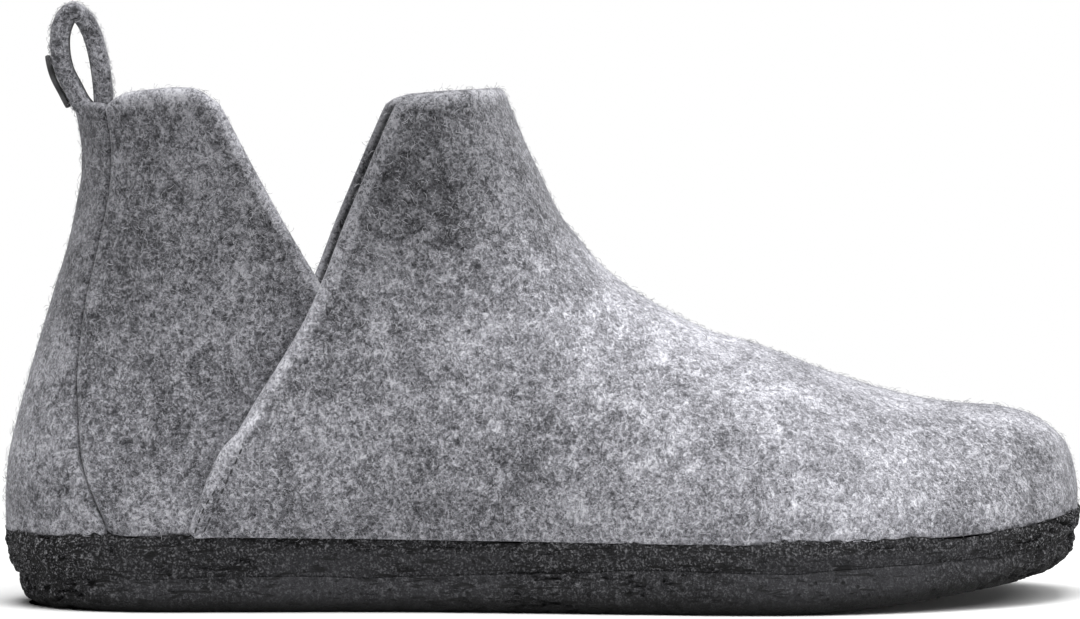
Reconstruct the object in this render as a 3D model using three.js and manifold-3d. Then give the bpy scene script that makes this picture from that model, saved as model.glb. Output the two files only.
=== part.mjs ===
// Felt slipper, the right shoe: a high front laps over a heel panel, on a sole of two layers.
// Millimetres, +Z up, +X towards the toe, -Y the outer side of the foot.
// The origin lies on the floor, under the middle of the heel.
import * as THREE from "three";
import { mergeVertices } from "three/addons/utils/BufferGeometryUtils.js";
import Module from "manifold-3d";

const wasm = await Module();
wasm.setup();

// Driving dimensions
const LENGTH = 288;
const BALL_WIDTH = 102;
const HEEL_WIDTH = 66;
const COLLAR_HEIGHT = 136;
const FELT = 4;
const CLEARANCE = 0.3;
const REST_FROM_BACK = 38;

const SOLE_HEIGHT = 19.5;
const OUTSOLE_THICKNESS = 9;
const SOLE_PROUD = 0.5;
// The line between the layers rises from heel to ball and follows a part of the toe spring.
const LAYER_RISE = { height: 2.2, from: 0.2, to: 0.6 };
const LAYER_SPRING = 0.62;
const TOE_SPRING = 12;
const INSOLE_THICKNESS = 5;
const HEEL_CUP = 4;
const ARCH_RISE = 5;
// Where the footbed's cup and arch begin and end, as shares of LENGTH.
const CUP_ENDS = { from: 0.15, to: 0.4 };
const ARCH_STARTS = { from: 0.25, to: 0.42 };
const ARCH_ENDS = { from: 0.48, to: 0.64 };

const LAP_RISE = 2.2;
const LAP_GAP = 0.8;
const LAP_BLEND = 30;
const STITCHED_HEIGHT = 42;
const STRIP_THICKNESS = 2.2;
// The lap's rise fades between two heights, shares of COLLAR_HEIGHT. The heel panel is pressed in over
// a short way before the front's edge, and its inside blends out past its own front edge.
const LAP_FADE = { from: 0.7, to: 0.95 };
const PRESSED_OVER = 18;
const INSIDE_BLEND = { from: 14, to: 34 };

const LOOP_HEIGHT = 27;
const LOOP_REACH = 16;
const LOOP_WIDTH = 18;
const LOOP_FELT = 5;
const TAG_WIDTH = 15;
const TAG_THICKNESS = 1.3;

// Fineness of the facets
const LEVELS = 15;
const CREST_RIBS = 22;
const NOSE_RIBS = 3;
const BACK_ROWS = 9;
const FRONT_ROWS = 12;
const SOLE_STATIONS = 36;
const BED_COLUMNS = 8;
const HALVINGS = 40;
const LONG_EDGE_STEPS = 40;
const SHORT_EDGE_STEPS = 20;
const STRIP_EDGE_STEPS = 14;
const LOOP_STEPS = 44;

// Cutters reach past both ends of the last, as shares of LENGTH.
const BEHIND_HEEL = -0.07;
const PAST_TOE = 1.1;

// Plan of the last. along is a share of LENGTH, the half widths and the lean of the middle line
// are shares of the width named in the column "of".
const SECTIONS = [
  { along: 0.0, of: HEEL_WIDTH, outer: 0.49, inner: 0.49, lean: 0.0 },
  { along: 0.15, of: HEEL_WIDTH, outer: 0.505, inner: 0.51, lean: 0.0 },
  { along: 0.35, of: BALL_WIDTH, outer: 0.358, inner: 0.315, lean: 0.0 },
  { along: 0.45, of: BALL_WIDTH, outer: 0.405, inner: 0.322, lean: 0.0 },
  { along: 0.55, of: BALL_WIDTH, outer: 0.465, inner: 0.39, lean: 0.0 },
  { along: 0.65, of: BALL_WIDTH, outer: 0.525, inner: 0.47, lean: 0.003 },
  { along: 0.72, of: BALL_WIDTH, outer: 0.55, inner: 0.505, lean: 0.01 },
  { along: 0.8, of: BALL_WIDTH, outer: 0.565, inner: 0.515, lean: 0.03 },
  { along: 0.9, of: BALL_WIDTH, outer: 0.575, inner: 0.5, lean: 0.062 },
  { along: 1.0, of: BALL_WIDTH, outer: 0.585, inner: 0.48, lean: 0.088 },
];

// Back line of the heel: up is a share of COLLAR_HEIGHT, set_in a share of LENGTH.
// rounding is how far the back's curve reaches along the side, as a share of LENGTH.
const BACK_LINE = [
  { up: 0.0, set_in: 0.0, rounding: 0.155 },
  { up: 0.147, set_in: 0.0, rounding: 0.16 },
  { up: 0.265, set_in: 0.0015, rounding: 0.165 },
  { up: 0.353, set_in: 0.0095, rounding: 0.17 },
  { up: 0.47, set_in: 0.0253, rounding: 0.178 },
  { up: 0.588, set_in: 0.0415, rounding: 0.186 },
  { up: 0.706, set_in: 0.0585, rounding: 0.194 },
  { up: 0.824, set_in: 0.07, rounding: 0.202 },
  { up: 0.912, set_in: 0.0695, rounding: 0.208 },
  { up: 1.0, set_in: 0.06, rounding: 0.212 },
  { up: 1.12, set_in: 0.043, rounding: 0.215 },
];

// Front line of the last, from above the collar down the instep to the toe tip.
const CREST_LINE = [
  { along: 0.0, up: 3.3 },
  { along: 0.4165, up: 1.205 },
  { along: 0.4566, up: 1.0 },
  { along: 0.481, up: 0.881 },
  { along: 0.5087, up: 0.763 },
  { along: 0.5295, up: 0.704 },
  { along: 0.5535, up: 0.646 },
  { along: 0.593, up: 0.587 },
  { along: 0.6475, up: 0.528 },
  { along: 0.696, up: 0.4985 },
  { along: 0.7685, up: 0.44 },
  { along: 0.8335, up: 0.3985 },
  { along: 0.871, up: 0.382 },
  { along: 0.908, up: 0.3745 },
  { along: 0.927, up: 0.3705 },
  { along: 0.958, up: 0.3525 },
  { along: 0.983, up: 0.313 },
  { along: 0.9925, up: 0.28 },
  { along: 0.9985, up: 0.235 },
  { along: 1.0, up: 0.195 },
];

// How full the sides are at each height.
const FULLNESS = [
  { up: 0.0, share: 0.93 },
  { up: 0.14, share: 0.98 },
  { up: 0.22, share: 1.0 },
  { up: 0.4, share: 0.97 },
  { up: 0.6, share: 0.95 },
  { up: 0.8, share: 0.99 },
  { up: 1.0, share: 1.06 },
  { up: 1.12, share: 1.08 },
];

// The sole from the side: top is a share of SOLE_HEIGHT, spring of TOE_SPRING.
const SOLE_LINE = [
  { along: 0.0, top: 0.985, spring: 0.0 },
  { along: 0.12, top: 1.0, spring: 0.0 },
  { along: 0.47, top: 0.944, spring: 0.0 },
  { along: 0.64, top: 0.923, spring: 0.0 },
  { along: 0.7, top: 0.93, spring: 0.0 },
  { along: 0.76, top: 0.948, spring: 0.07 },
  { along: 0.82, top: 0.97, spring: 0.22 },
  { along: 0.88, top: 1.0, spring: 0.4 },
  { along: 0.925, top: 1.05, spring: 0.54 },
  { along: 0.965, top: 1.13, spring: 0.72 },
  { along: 1.0, top: 1.19, spring: 0.95 },
];

// The side of each layer of the sole, from its bottom to its top: part is the share of the layer's
// height, the other columns say how far it lies in from the last's edge, as shares of SOLE_HEIGHT.
const OUTSOLE_SIDE = [
  { part: 0, inset: 0.15, more_at_heel: 0.32, more_at_toe: 0.13 },
  { part: 0.22, inset: 0.05, more_at_heel: 0.27, more_at_toe: 0.08 },
  { part: 0.6, inset: 0.005, more_at_heel: 0.24, more_at_toe: 0.08 },
  { part: 1, inset: 0.02, more_at_heel: 0.2, more_at_toe: 0.07 },
];
const MIDSOLE_SIDE = [
  { part: 0, inset: 0.03, more_at_heel: 0.14, more_at_toe: 0.04 },
  { part: 0.3, inset: 0.005, more_at_heel: 0.09, more_at_toe: 0.02 },
  { part: 0.8, inset: 0.0, more_at_heel: 0.03, more_at_toe: 0.0 },
  { part: 1, inset: 0.025, more_at_heel: 0.0, more_at_toe: 0.0 },
];

// Panel edges from the side, as shares of LENGTH and COLLAR_HEIGHT.
const HEEL_FRONT = [
  { along: 0.3815, up: 0.0 },
  { along: 0.3795, up: 0.15 },
  { along: 0.3675, up: 0.33 },
  { along: 0.33, up: 0.49 },
  { along: 0.2857, up: 0.63 },
  { along: 0.2317, up: 0.827 },
  { along: 0.193, up: 0.98 },
];
const VAMP_REAR = [
  { along: 0.1656, up: 0.0 },
  { along: 0.1667, up: 0.149 },
  { along: 0.1743, up: 0.215 },
  { along: 0.1821, up: 0.259 },
  { along: 0.1976, up: 0.314 },
  { along: 0.2111, up: 0.346 },
  { along: 0.2285, up: 0.407 },
  { along: 0.2674, up: 0.541 },
  { along: 0.2878, up: 0.632 },
  { along: 0.3097, up: 0.751 },
  { along: 0.3507, up: 0.951 },
];
const HEEL_TOP = [
  { along: 0.19, up: 0.9925 },
  { along: 0.175, up: 0.9995 },
  { along: 0.155, up: 1.0015 },
  { along: 0.125, up: 0.996 },
  { along: 0.105, up: 0.988 },
  { along: 0.088, up: 0.97 },
  { along: 0.06, up: 0.97 },
  { along: BEHIND_HEEL, up: 0.97 },
];
const VAMP_TOP = [
  { along: 0.3545, up: 0.97 },
  { along: 0.362, up: 0.98 },
  { along: 0.3764, up: 0.99 },
  { along: 0.4205, up: 0.997 },
  { along: 0.4572, up: 1.0 },
  { along: PAST_TOE, up: 1.0 },
];

// The strip up the back of the heel: reach is how far it comes forward from the back line.
const STRIP_EDGE = [
  { up: 0.0, reach: 0.1077 },
  { up: 0.147, reach: 0.0939 },
  { up: 0.235, reach: 0.076 },
  { up: 0.294, reach: 0.0651 },
  { up: 0.39, reach: 0.0512 },
  { up: 0.456, reach: 0.0408 },
  { up: 0.588, reach: 0.03 },
  { up: 0.72, reach: 0.0256 },
  { up: 0.96, reach: 0.025 },
  { up: 1.12, reach: 0.025 },
];

// Middle line of the pull loop: back from the wall's inner face as a share of LOOP_REACH,
// up from the collar as a share of LOOP_HEIGHT.
const LOOP_LINE = [
  { back: 0.13, up: 0.012 },
  { back: 0.26, up: 0.155 },
  { back: 0.4, up: 0.322 },
  { back: 0.465, up: 0.507 },
  { back: 0.46, up: 0.69 },
  { back: 0.37, up: 0.84 },
  { back: 0.245, up: 0.895 },
  { back: 0.09, up: 0.84 },
  { back: -0.05, up: 0.69 },
  { back: -0.14, up: 0.507 },
  { back: -0.195, up: 0.322 },
  { back: -0.23, up: 0.137 },
  { back: -0.25, up: -0.06 },
  { back: -0.315, up: -0.31 },
  { back: -0.335, up: -0.46 },
];
const TAG_FROM = 0.045;
const TAG_TO = 0.27;

// A smooth function through the rows of a table.
function curveThrough(rows, from, to) {
  const at = rows.map((row) => row[from]);
  const value = rows.map((row) => (typeof to === "function" ? to(row) : row[to]));
  const slope = at.map((_, i) => {
    const before = Math.max(i - 1, 0);
    const after = Math.min(i + 1, at.length - 1);
    return (value[after] - value[before]) / (at[after] - at[before]);
  });
  return (x) => {
    let i = 0;
    while (i < at.length - 2 && x > at[i + 1]) i += 1;
    const span = at[i + 1] - at[i];
    const t = (x - at[i]) / span;
    if (t < 0) return value[i] + slope[i] * (x - at[i]);
    if (t > 1) return value[i + 1] + slope[i + 1] * (x - at[i + 1]);
    const rise = value[i + 1] - value[i];
    const a = slope[i] * span - rise;
    const b = -slope[i + 1] * span + rise;
    return value[i] + rise * t + t * (1 - t) * (a * (1 - t) + b * t);
  };
}

// 0 below from, 1 above to, smooth between.
function step(from, to, x) {
  const t = Math.min(Math.max((x - from) / (to - from), 0), 1);
  return t * t * (3 - 2 * t);
}

const sectionOuter = curveThrough(SECTIONS, "along", (row) => row.outer * row.of);
const sectionInner = curveThrough(SECTIONS, "along", (row) => row.inner * row.of);
const sectionLean = curveThrough(SECTIONS, "along", (row) => row.lean * row.of);
const backShare = curveThrough(BACK_LINE, "up", "set_in");
const roundingShare = curveThrough(BACK_LINE, "up", "rounding");
const crestShare = curveThrough(CREST_LINE, "along", "up");
const fullness = curveThrough(FULLNESS, "up", "share");
const soleTopShare = curveThrough(SOLE_LINE, "along", "top");
const springShare = curveThrough(SOLE_LINE, "along", "spring");
const heelFrontShare = curveThrough(HEEL_FRONT, "up", "along");
const vampRearShare = curveThrough(VAMP_REAR, "up", "along");
const stripShare = curveThrough(STRIP_EDGE, "up", "reach");

const upOf = (z) => z / COLLAR_HEIGHT;
const backLine = (z) => LENGTH * backShare(upOf(z));
const crestLine = (x) => COLLAR_HEIGHT * crestShare(x / LENGTH);
const middle = (x) => sectionLean(x / LENGTH);
const heelFront = (z) => LENGTH * heelFrontShare(upOf(z));
const vampRear = (z) => LENGTH * vampRearShare(upOf(z));
const soleTop = (x) => SOLE_HEIGHT * soleTopShare(Math.min(Math.max(x / LENGTH, 0), 1));
const FLAT_TO = SOLE_LINE[4].along * LENGTH;
const underside = (x) => (x <= FLAT_TO ? 0 : Math.max(TOE_SPRING * springShare(Math.min(x / LENGTH, 1)), 0));
const layerLine = (x) => OUTSOLE_THICKNESS + underside(x) * LAYER_SPRING
  + LAYER_RISE.height * step(LAYER_RISE.from, LAYER_RISE.to, x / LENGTH);

// A rounded end: 0 at its tip, 1 from its full depth on.
function roundedEnd(depth, along, across) {
  const u = Math.min(Math.max(depth, 0), 1);
  return Math.pow(1 - Math.pow(1 - u, along), 1 / across);
}

// The rounding of the back, the toe and the crown: exponents along and across.
const TOE_ROUNDING = 0.36 * LENGTH;
const BACK_CURVE = { along: 2.2, across: 2.1 };
const TOE_CURVE = { along: 2.6, across: 2.2 };
const CROWN_CURVE = { along: 2.5, across: 2.3 };

// Half width of the last at a place seen from the side. side is -1 on the outer side, 1 on the inner.
function halfWidth(x, z, side) {
  const plan = side < 0 ? sectionOuter(x / LENGTH) : sectionInner(x / LENGTH);
  const behind = (x - backLine(z)) / (LENGTH * roundingShare(upOf(z)));
  const back = roundedEnd(behind, BACK_CURVE.along, BACK_CURVE.across);
  const toe = roundedEnd((LENGTH - x) / TOE_ROUNDING, TOE_CURVE.along, TOE_CURVE.across);
  const height = Math.min(Math.max(z / crestLine(Math.min(x, LENGTH)), 0), 1);
  const crown = Math.pow(1 - Math.pow(height, CROWN_CURVE.along), 1 / CROWN_CURVE.across);
  return plan * fullness(upOf(z)) * back * toe * crown;
}

function toSolid(positions, triangles) {
  const geometry = new THREE.BufferGeometry();
  geometry.setAttribute("position", new THREE.Float32BufferAttribute(positions.flat(), 3));
  geometry.setIndex(triangles.flat());
  return fromGeometry(geometry);
}

function fromGeometry(geometry) {
  geometry.deleteAttribute("normal");
  geometry.deleteAttribute("uv");
  const merged = mergeVertices(geometry, 1e-4);
  const index = Array.from(merged.index.array);
  const triVerts = [];
  for (let i = 0; i < index.length; i += 3) {
    const [a, b, c] = [index[i], index[i + 1], index[i + 2]];
    if (a !== b && b !== c && c !== a) triVerts.push(a, b, c);
  }
  return new wasm.Manifold(new wasm.Mesh({
    numProp: 3,
    vertProperties: new Float32Array(merged.attributes.position.array),
    triVerts: new Uint32Array(triVerts),
  }));
}

// The largest body of a solid, without the slivers that a cut can leave.
function mainBody(solid) {
  return solid.decompose().reduce((best, body) => (body.volume() > best.volume() ? body : best));
}

// Seen from the side the last is covered by ribs: the back ribs run level from an upright spine
// to the back line, the front ribs fan out from the spine and the base to the crest line and the nose.
const BASE = 0.4 * SOLE_HEIGHT;
const TOP = 1.1 * COLLAR_HEIGHT;
const SPINE = 0.26 * LENGTH;
const NOSE = crestLine(LENGTH);
const SPINE_FRONT = 0.58 * LENGTH;
const BASE_FRONT = { from: 0.88, more: 0.02 };
const CREST_RANGE = { from: 0.3, to: 0.6 };
const TOP_SPREAD = 1.3;
const CREST_SPREAD = 1.1;

function crestAt(height) {
  let low = CREST_RANGE.from * LENGTH;
  let high = CREST_RANGE.to * LENGTH;
  for (let turn = 0; turn < HALVINGS; turn += 1) {
    const half = (low + high) / 2;
    if (crestLine(half) > height) low = half;
    else high = half;
  }
  return low;
}

const levelHeight = (i) => BASE + ((TOP - BASE) * i) / LEVELS;

function backRibs() {
  const ribs = [];
  for (let i = 0; i <= LEVELS; i += 1) {
    const z = levelHeight(i);
    ribs.push({ from: [SPINE, z], to: [backLine(z), z] });
  }
  return ribs;
}

function frontRibs() {
  const ribs = [];
  const topFront = crestAt(TOP);
  for (let i = 0; i <= LEVELS; i += 1) {
    const x = topFront + (SPINE_FRONT - topFront) * (i / LEVELS) ** TOP_SPREAD;
    ribs.push({ from: [SPINE, levelHeight(LEVELS - i)], to: [x, crestLine(x)] });
  }
  for (let i = 1; i <= CREST_RIBS; i += 1) {
    const share = Math.sin((i / CREST_RIBS) * (Math.PI / 2)) ** CREST_SPREAD;
    const x = SPINE_FRONT + (LENGTH - SPINE_FRONT) * share;
    const foot = SPINE + (BASE_FRONT.from * LENGTH - SPINE) * (i / CREST_RIBS);
    ribs.push({ from: [foot, BASE], to: [x, crestLine(x)] });
  }
  for (let i = 1; i <= NOSE_RIBS; i += 1) {
    const share = i / NOSE_RIBS;
    const foot = (BASE_FRONT.from + BASE_FRONT.more * share) * LENGTH;
    ribs.push({ from: [foot, BASE], to: [LENGTH, NOSE + (BASE - NOSE) * share] });
  }
  return ribs;
}

const FANS = [
  { ribs: backRibs(), rows: BACK_ROWS },
  { ribs: frontRibs(), rows: FRONT_ROWS },
];

// The last grown by offset(x, z) along its own normals, as one closed solid.
function lastForm(offset) {
  const positions = [];
  const places = [];
  const known = new Map();
  const vertex = (x, y, z) => {
    const key = [x, y, z].map((value) => value.toFixed(4)).join(" ");
    if (!known.has(key)) {
      known.set(key, positions.length);
      positions.push([x, y, z]);
      places.push([x, z]);
    }
    return known.get(key);
  };
  const at = (fan, i, j, side) => {
    const rib = fan.ribs[i];
    const reach = Math.sin(((j / fan.rows) * Math.PI) / 2);
    const x = rib.from[0] + (rib.to[0] - rib.from[0]) * reach;
    const z = rib.from[1] + (rib.to[1] - rib.from[1]) * reach;
    return vertex(x, middle(x) + (j === fan.rows ? 0 : side * halfWidth(x, z, side)), z);
  };
  const sheets = [];
  for (const side of [-1, 1]) {
    for (const fan of FANS) {
      for (let i = 0; i + 1 < fan.ribs.length; i += 1) {
        for (let j = 0; j < fan.rows; j += 1) {
          const quad = [at(fan, i, j, side), at(fan, i + 1, j, side)];
          quad.push(at(fan, i + 1, j + 1, side), at(fan, i, j + 1, side));
          if (side > 0) quad.reverse();
          sheets.push([quad[0], quad[1], quad[2]], [quad[0], quad[2], quad[3]]);
        }
      }
    }
  }
  const normals = positions.map(() => new THREE.Vector3());
  for (const face of sheets) {
    const [a, b, c] = face.map((id) => new THREE.Vector3(...positions[id]));
    const normal = b.sub(a).cross(c.sub(a));
    for (const id of face) normals[id].add(normal);
  }
  const grown = positions.map((position, id) => {
    const amount = offset(...places[id]);
    const normal = normals[id].normalize();
    return [position[0] + normal.x * amount, position[1] + normal.y * amount, position[2] + normal.z * amount];
  });
  // The two sheets are bridged along the base and along the open top.
  const [back, front] = FANS;
  const base = [];
  for (let j = back.rows; j > 0; j -= 1) base.push([back, 0, j]);
  for (let i = LEVELS; i < front.ribs.length; i += 1) base.push([front, i, 0]);
  for (let j = 1; j <= front.rows; j += 1) base.push([front, front.ribs.length - 1, j]);
  const top = [];
  for (let j = front.rows; j > 0; j -= 1) top.push([front, 0, j]);
  for (let j = 0; j <= back.rows; j += 1) top.push([back, LEVELS, j]);
  const bridges = [];
  for (const edge of [base, top]) {
    for (let k = 0; k + 1 < edge.length; k += 1) {
      const [a, b] = [at(...edge[k], -1), at(...edge[k + 1], -1)];
      const [c, d] = [at(...edge[k + 1], 1), at(...edge[k], 1)];
      bridges.push([a, c, b], [a, d, c]);
    }
  }
  return toSolid(grown, [...sheets, ...bridges]);
}

// A prism across the shoe with a given outline from the side.
const ACROSS = 2 * BALL_WIDTH;
function sideCutter(points, width = ACROSS) {
  const shape = new THREE.Shape(points.map(([x, z]) => new THREE.Vector2(x, z)));
  const geometry = new THREE.ExtrudeGeometry(shape, { depth: width, bevelEnabled: false });
  geometry.rotateX(Math.PI / 2);
  geometry.translate(0, width / 2, 0);
  return fromGeometry(geometry);
}

const scaled = (rows) => rows.map((row) => [row.along * LENGTH, row.up * COLLAR_HEIGHT]);

// Points along the sole's top from one place to another, raised by a clearance.
function alongSoleTop(from, to, count) {
  const points = [];
  for (let i = 0; i <= count; i += 1) {
    const x = from + ((to - from) * i) / count;
    points.push([x, soleTop(x) + CLEARANCE]);
  }
  return points;
}

// Where the front laps over the heel panel it rises and the panel sinks, and both blend out.
const LAP_TOP = VAMP_REAR[8].up * COLLAR_HEIGHT;
const vampOffset = (x, z) => LAP_RISE * (1 - step(0, LAP_BLEND, x - heelFront(Math.min(z, LAP_TOP))))
  * (1 - step(LAP_FADE.from, LAP_FADE.to, upOf(z)));
const OPEN_FROM = 1.3 * STITCHED_HEIGHT;
const lapGap = (z) => -CLEARANCE + (LAP_GAP + CLEARANCE) * step(STITCHED_HEIGHT, OPEN_FROM, z);
const heelOffset = (x, z) => -(FELT - LAP_RISE + lapGap(z)) * step(-PRESSED_OVER, 0, x - vampRear(z));
const insideOffset = (x, z) => heelOffset(x, z)
  * (1 - step(INSIDE_BLEND.from, INSIDE_BLEND.to, x - heelFront(z))) - FELT;

function makeUpper() {
  const vampEdge = scaled(VAMP_REAR).filter(([x, z]) => z > soleTop(x) + CLEARANCE);
  const vampStart = vampRear(SOLE_HEIGHT);
  const vampOutline = sideCutter([
    ...alongSoleTop(vampStart, PAST_TOE * LENGTH, LONG_EDGE_STEPS),
    ...scaled(VAMP_TOP).reverse(),
    ...vampEdge.reverse(),
  ]);
  const heelEdge = scaled(HEEL_FRONT).filter(([x, z]) => z > soleTop(x) + CLEARANCE);
  const heelOutline = sideCutter([
    ...alongSoleTop(BEHIND_HEEL * LENGTH, heelFront(SOLE_HEIGHT), SHORT_EDGE_STEPS),
    ...heelEdge,
    ...scaled(HEEL_TOP),
  ]);
  const vamp = lastForm(vampOffset)
    .subtract(lastForm((x, z) => vampOffset(x, z) - FELT))
    .intersect(vampOutline);
  const heelPanel = lastForm(heelOffset)
    .subtract(lastForm((x, z) => heelOffset(x, z) - FELT))
    .intersect(heelOutline);
  const recess = lastForm(() => FELT)
    .subtract(lastForm(() => -STRIP_THICKNESS - CLEARANCE))
    .intersect(stripOutline(CLEARANCE));
  return mainBody(vamp.add(heelPanel.subtract(recess)));
}

// Height of the collar at the back, where the strip ends and the loop stands.
const COLLAR_BACK = HEEL_TOP.at(-1).up * COLLAR_HEIGHT;

// The strip's outline from the side, grown by a margin.
function stripOutline(margin) {
  const behind = BEHIND_HEEL * LENGTH;
  const edge = [];
  const from = 0.9 * SOLE_HEIGHT;
  const to = COLLAR_BACK + margin * 10;
  for (let i = 0; i <= STRIP_EDGE_STEPS; i += 1) {
    const z = from + ((to - from) * i) / STRIP_EDGE_STEPS;
    edge.push([backLine(z) + LENGTH * stripShare(upOf(z)) + margin, z]);
  }
  return sideCutter([[behind, from], ...edge, [behind, to]]);
}

function makeBackStrip() {
  const above = sideCutter([
    ...alongSoleTop(BEHIND_HEEL * LENGTH, heelFront(0), SHORT_EDGE_STEPS),
    [heelFront(0), COLLAR_HEIGHT],
    [BEHIND_HEEL * LENGTH, COLLAR_HEIGHT],
  ]);
  return lastForm(() => 0)
    .subtract(lastForm(() => -STRIP_THICKNESS))
    .intersect(stripOutline(0))
    .intersect(above);
}

// Outline of the sole from above: heel back, outer side, toe tip, inner side.
function soleRing() {
  const ring = [];
  const place = (i) => (LENGTH * (1 - Math.cos((Math.PI * i) / SOLE_STATIONS))) / 2;
  const point = (x, side) => [x, middle(x) + side * halfWidth(x, soleTop(x), side)];
  for (let i = 0; i <= SOLE_STATIONS; i += 1) ring.push(point(place(i), -1));
  for (let i = SOLE_STATIONS - 1; i > 0; i -= 1) ring.push(point(place(i), 1));
  return ring;
}

function insetRing(inset) {
  const ring = soleRing();
  return ring.map(([x, y], i) => {
    const before = ring[(i + ring.length - 1) % ring.length];
    const after = ring[(i + 1) % ring.length];
    const along = new THREE.Vector2(after[0] - before[0], after[1] - before[1]).normalize();
    const amount = inset(x / LENGTH);
    return [x - along.y * amount, y + along.x * amount];
  });
}

// A layer of the sole: rings of the outline stacked from the bottom to the top.
function soleLayer(levels) {
  const rings = levels.map((level) => insetRing(level.inset).map(([x, y]) => [x, y, level.height(x)]));
  const count = rings[0].length;
  const positions = rings.flat();
  const triangles = [];
  for (let k = 0; k + 1 < rings.length; k += 1) {
    for (let i = 0; i < count; i += 1) {
      const next = (i + 1) % count;
      const [a, b] = [k * count + i, k * count + next];
      const [c, d] = [(k + 1) * count + next, (k + 1) * count + i];
      triangles.push([a, b, c], [a, c, d]);
    }
  }
  const top = (rings.length - 1) * count;
  for (let i = 0; i < SOLE_STATIONS; i += 1) {
    const [a, b] = [i, i + 1];
    const [c, d] = [(count - i - 1) % count, (count - i) % count];
    triangles.push([a, c, b], [a, d, c]);
    triangles.push([top + a, top + b, top + c], [top + a, top + c, top + d]);
  }
  return toSolid(positions, triangles);
}

// A layer from one height to another, with the side that its table gives.
function sideOfLayer(rows, bottom, top) {
  const atEnds = (share) => Math.abs(2 * share - 1) ** 8;
  const more = (row, share) => (share < 0.5 ? row.more_at_heel : row.more_at_toe) * atEnds(share);
  return soleLayer(rows.map((row) => ({
    inset: (share) => SOLE_HEIGHT * (row.inset + more(row, share)) - SOLE_PROUD,
    height: (x) => bottom(x) + (top(x) - bottom(x)) * row.part,
  })));
}

function makeOutsole() {
  return sideOfLayer(OUTSOLE_SIDE, underside, (x) => layerLine(x) - CLEARANCE / 2);
}

function makeMidsole() {
  return sideOfLayer(MIDSOLE_SIDE, (x) => layerLine(x) + CLEARANCE / 2, soleTop);
}

// The footbed: dished under the heel, raised under the arch, cut to the inside of the felt wall.
function makeInsole() {
  const ring = insetRing(() => FELT / 2);
  const count = ring.length;
  const positions = [];
  const id = (level, i, j) => (level * (SOLE_STATIONS + 1) + i) * (BED_COLUMNS + 1) + j;
  for (const level of [0, 1]) {
    for (let i = 0; i <= SOLE_STATIONS; i += 1) {
      const outer = ring[i];
      const inner = ring[(count - i) % count];
      for (let j = 0; j <= BED_COLUMNS; j += 1) {
        const t = j / BED_COLUMNS;
        const x = outer[0] + (inner[0] - outer[0]) * t;
        const share = x / LENGTH;
        const across = (2 * t - 1) ** 2;
        const cup = HEEL_CUP * across * (1 - step(CUP_ENDS.from, CUP_ENDS.to, share));
        const underArch = step(ARCH_STARTS.from, ARCH_STARTS.to, share)
          * (1 - step(ARCH_ENDS.from, ARCH_ENDS.to, share));
        const arch = ARCH_RISE * t ** 3 * underArch;
        const bed = level === 0 ? 0 : INSOLE_THICKNESS + cup + arch;
        positions.push([x, outer[1] + (inner[1] - outer[1]) * t, soleTop(x) + CLEARANCE + bed]);
      }
    }
  }
  const triangles = [];
  const quad = (a, b, c, d) => triangles.push([a, b, c], [a, c, d]);
  for (let i = 0; i < SOLE_STATIONS; i += 1) {
    for (let j = 0; j < BED_COLUMNS; j += 1) {
      quad(id(1, i, j), id(1, i + 1, j), id(1, i + 1, j + 1), id(1, i, j + 1));
      quad(id(0, i, j), id(0, i, j + 1), id(0, i + 1, j + 1), id(0, i + 1, j));
    }
    quad(id(0, i, 0), id(0, i + 1, 0), id(1, i + 1, 0), id(1, i, 0));
    const end = BED_COLUMNS;
    quad(id(0, i, end), id(1, i, end), id(1, i + 1, end), id(0, i + 1, end));
  }
  for (const i of [0, SOLE_STATIONS]) {
    for (let j = 0; j < BED_COLUMNS; j += 1) {
      const face = [id(0, i, j), id(1, i, j), id(1, i, j + 1), id(0, i, j + 1)];
      if (i === 0) face.reverse();
      quad(face[0], face[3], face[2], face[1]);
    }
  }
  const room = lastForm((x, z) => insideOffset(x, z) - CLEARANCE);
  return toSolid(positions, triangles).intersect(room);
}

// The loop's band from the side, between two distances from its middle line.
function bandOutline(from, to, near, far) {
  const wall = backLine(COLLAR_BACK) + FELT;
  const line = new THREE.SplineCurve(
    LOOP_LINE.map((row) => new THREE.Vector2(
      wall - row.back * LOOP_REACH,
      COLLAR_BACK + CLEARANCE + row.up * LOOP_HEIGHT,
    )),
  );
  const count = Math.max(Math.round((to - from) * LOOP_STEPS), 5);
  const [left, right] = [[], []];
  for (let i = 0; i <= count; i += 1) {
    const t = from + ((to - from) * i) / count;
    const at = line.getPointAt(t);
    const along = line.getTangentAt(t);
    left.push([at.x - along.y * far, at.y + along.x * far]);
    right.push([at.x - along.y * near, at.y + along.x * near]);
  }
  return [...left, ...right.reverse()];
}

function makePullLoop() {
  const half = LOOP_FELT / 2;
  const band = sideCutter(bandOutline(0, 1, -half, half), LOOP_WIDTH);
  const heelTop = scaled(HEEL_TOP);
  const below = sideCutter([
    [heelTop.at(-1)[0], 0],
    [heelTop[0][0], 0],
    ...heelTop.map(([x, z]) => [x, z + 2 * CLEARANCE]),
  ]);
  const wall = lastForm(() => CLEARANCE).subtract(lastForm(() => -FELT - CLEARANCE)).intersect(below);
  return mainBody(band.subtract(wall));
}

function makeLoopTag() {
  const near = LOOP_FELT / 2 + CLEARANCE;
  return sideCutter(bandOutline(TAG_FROM, TAG_TO, near, near + TAG_THICKNESS), TAG_WIDTH);
}

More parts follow.
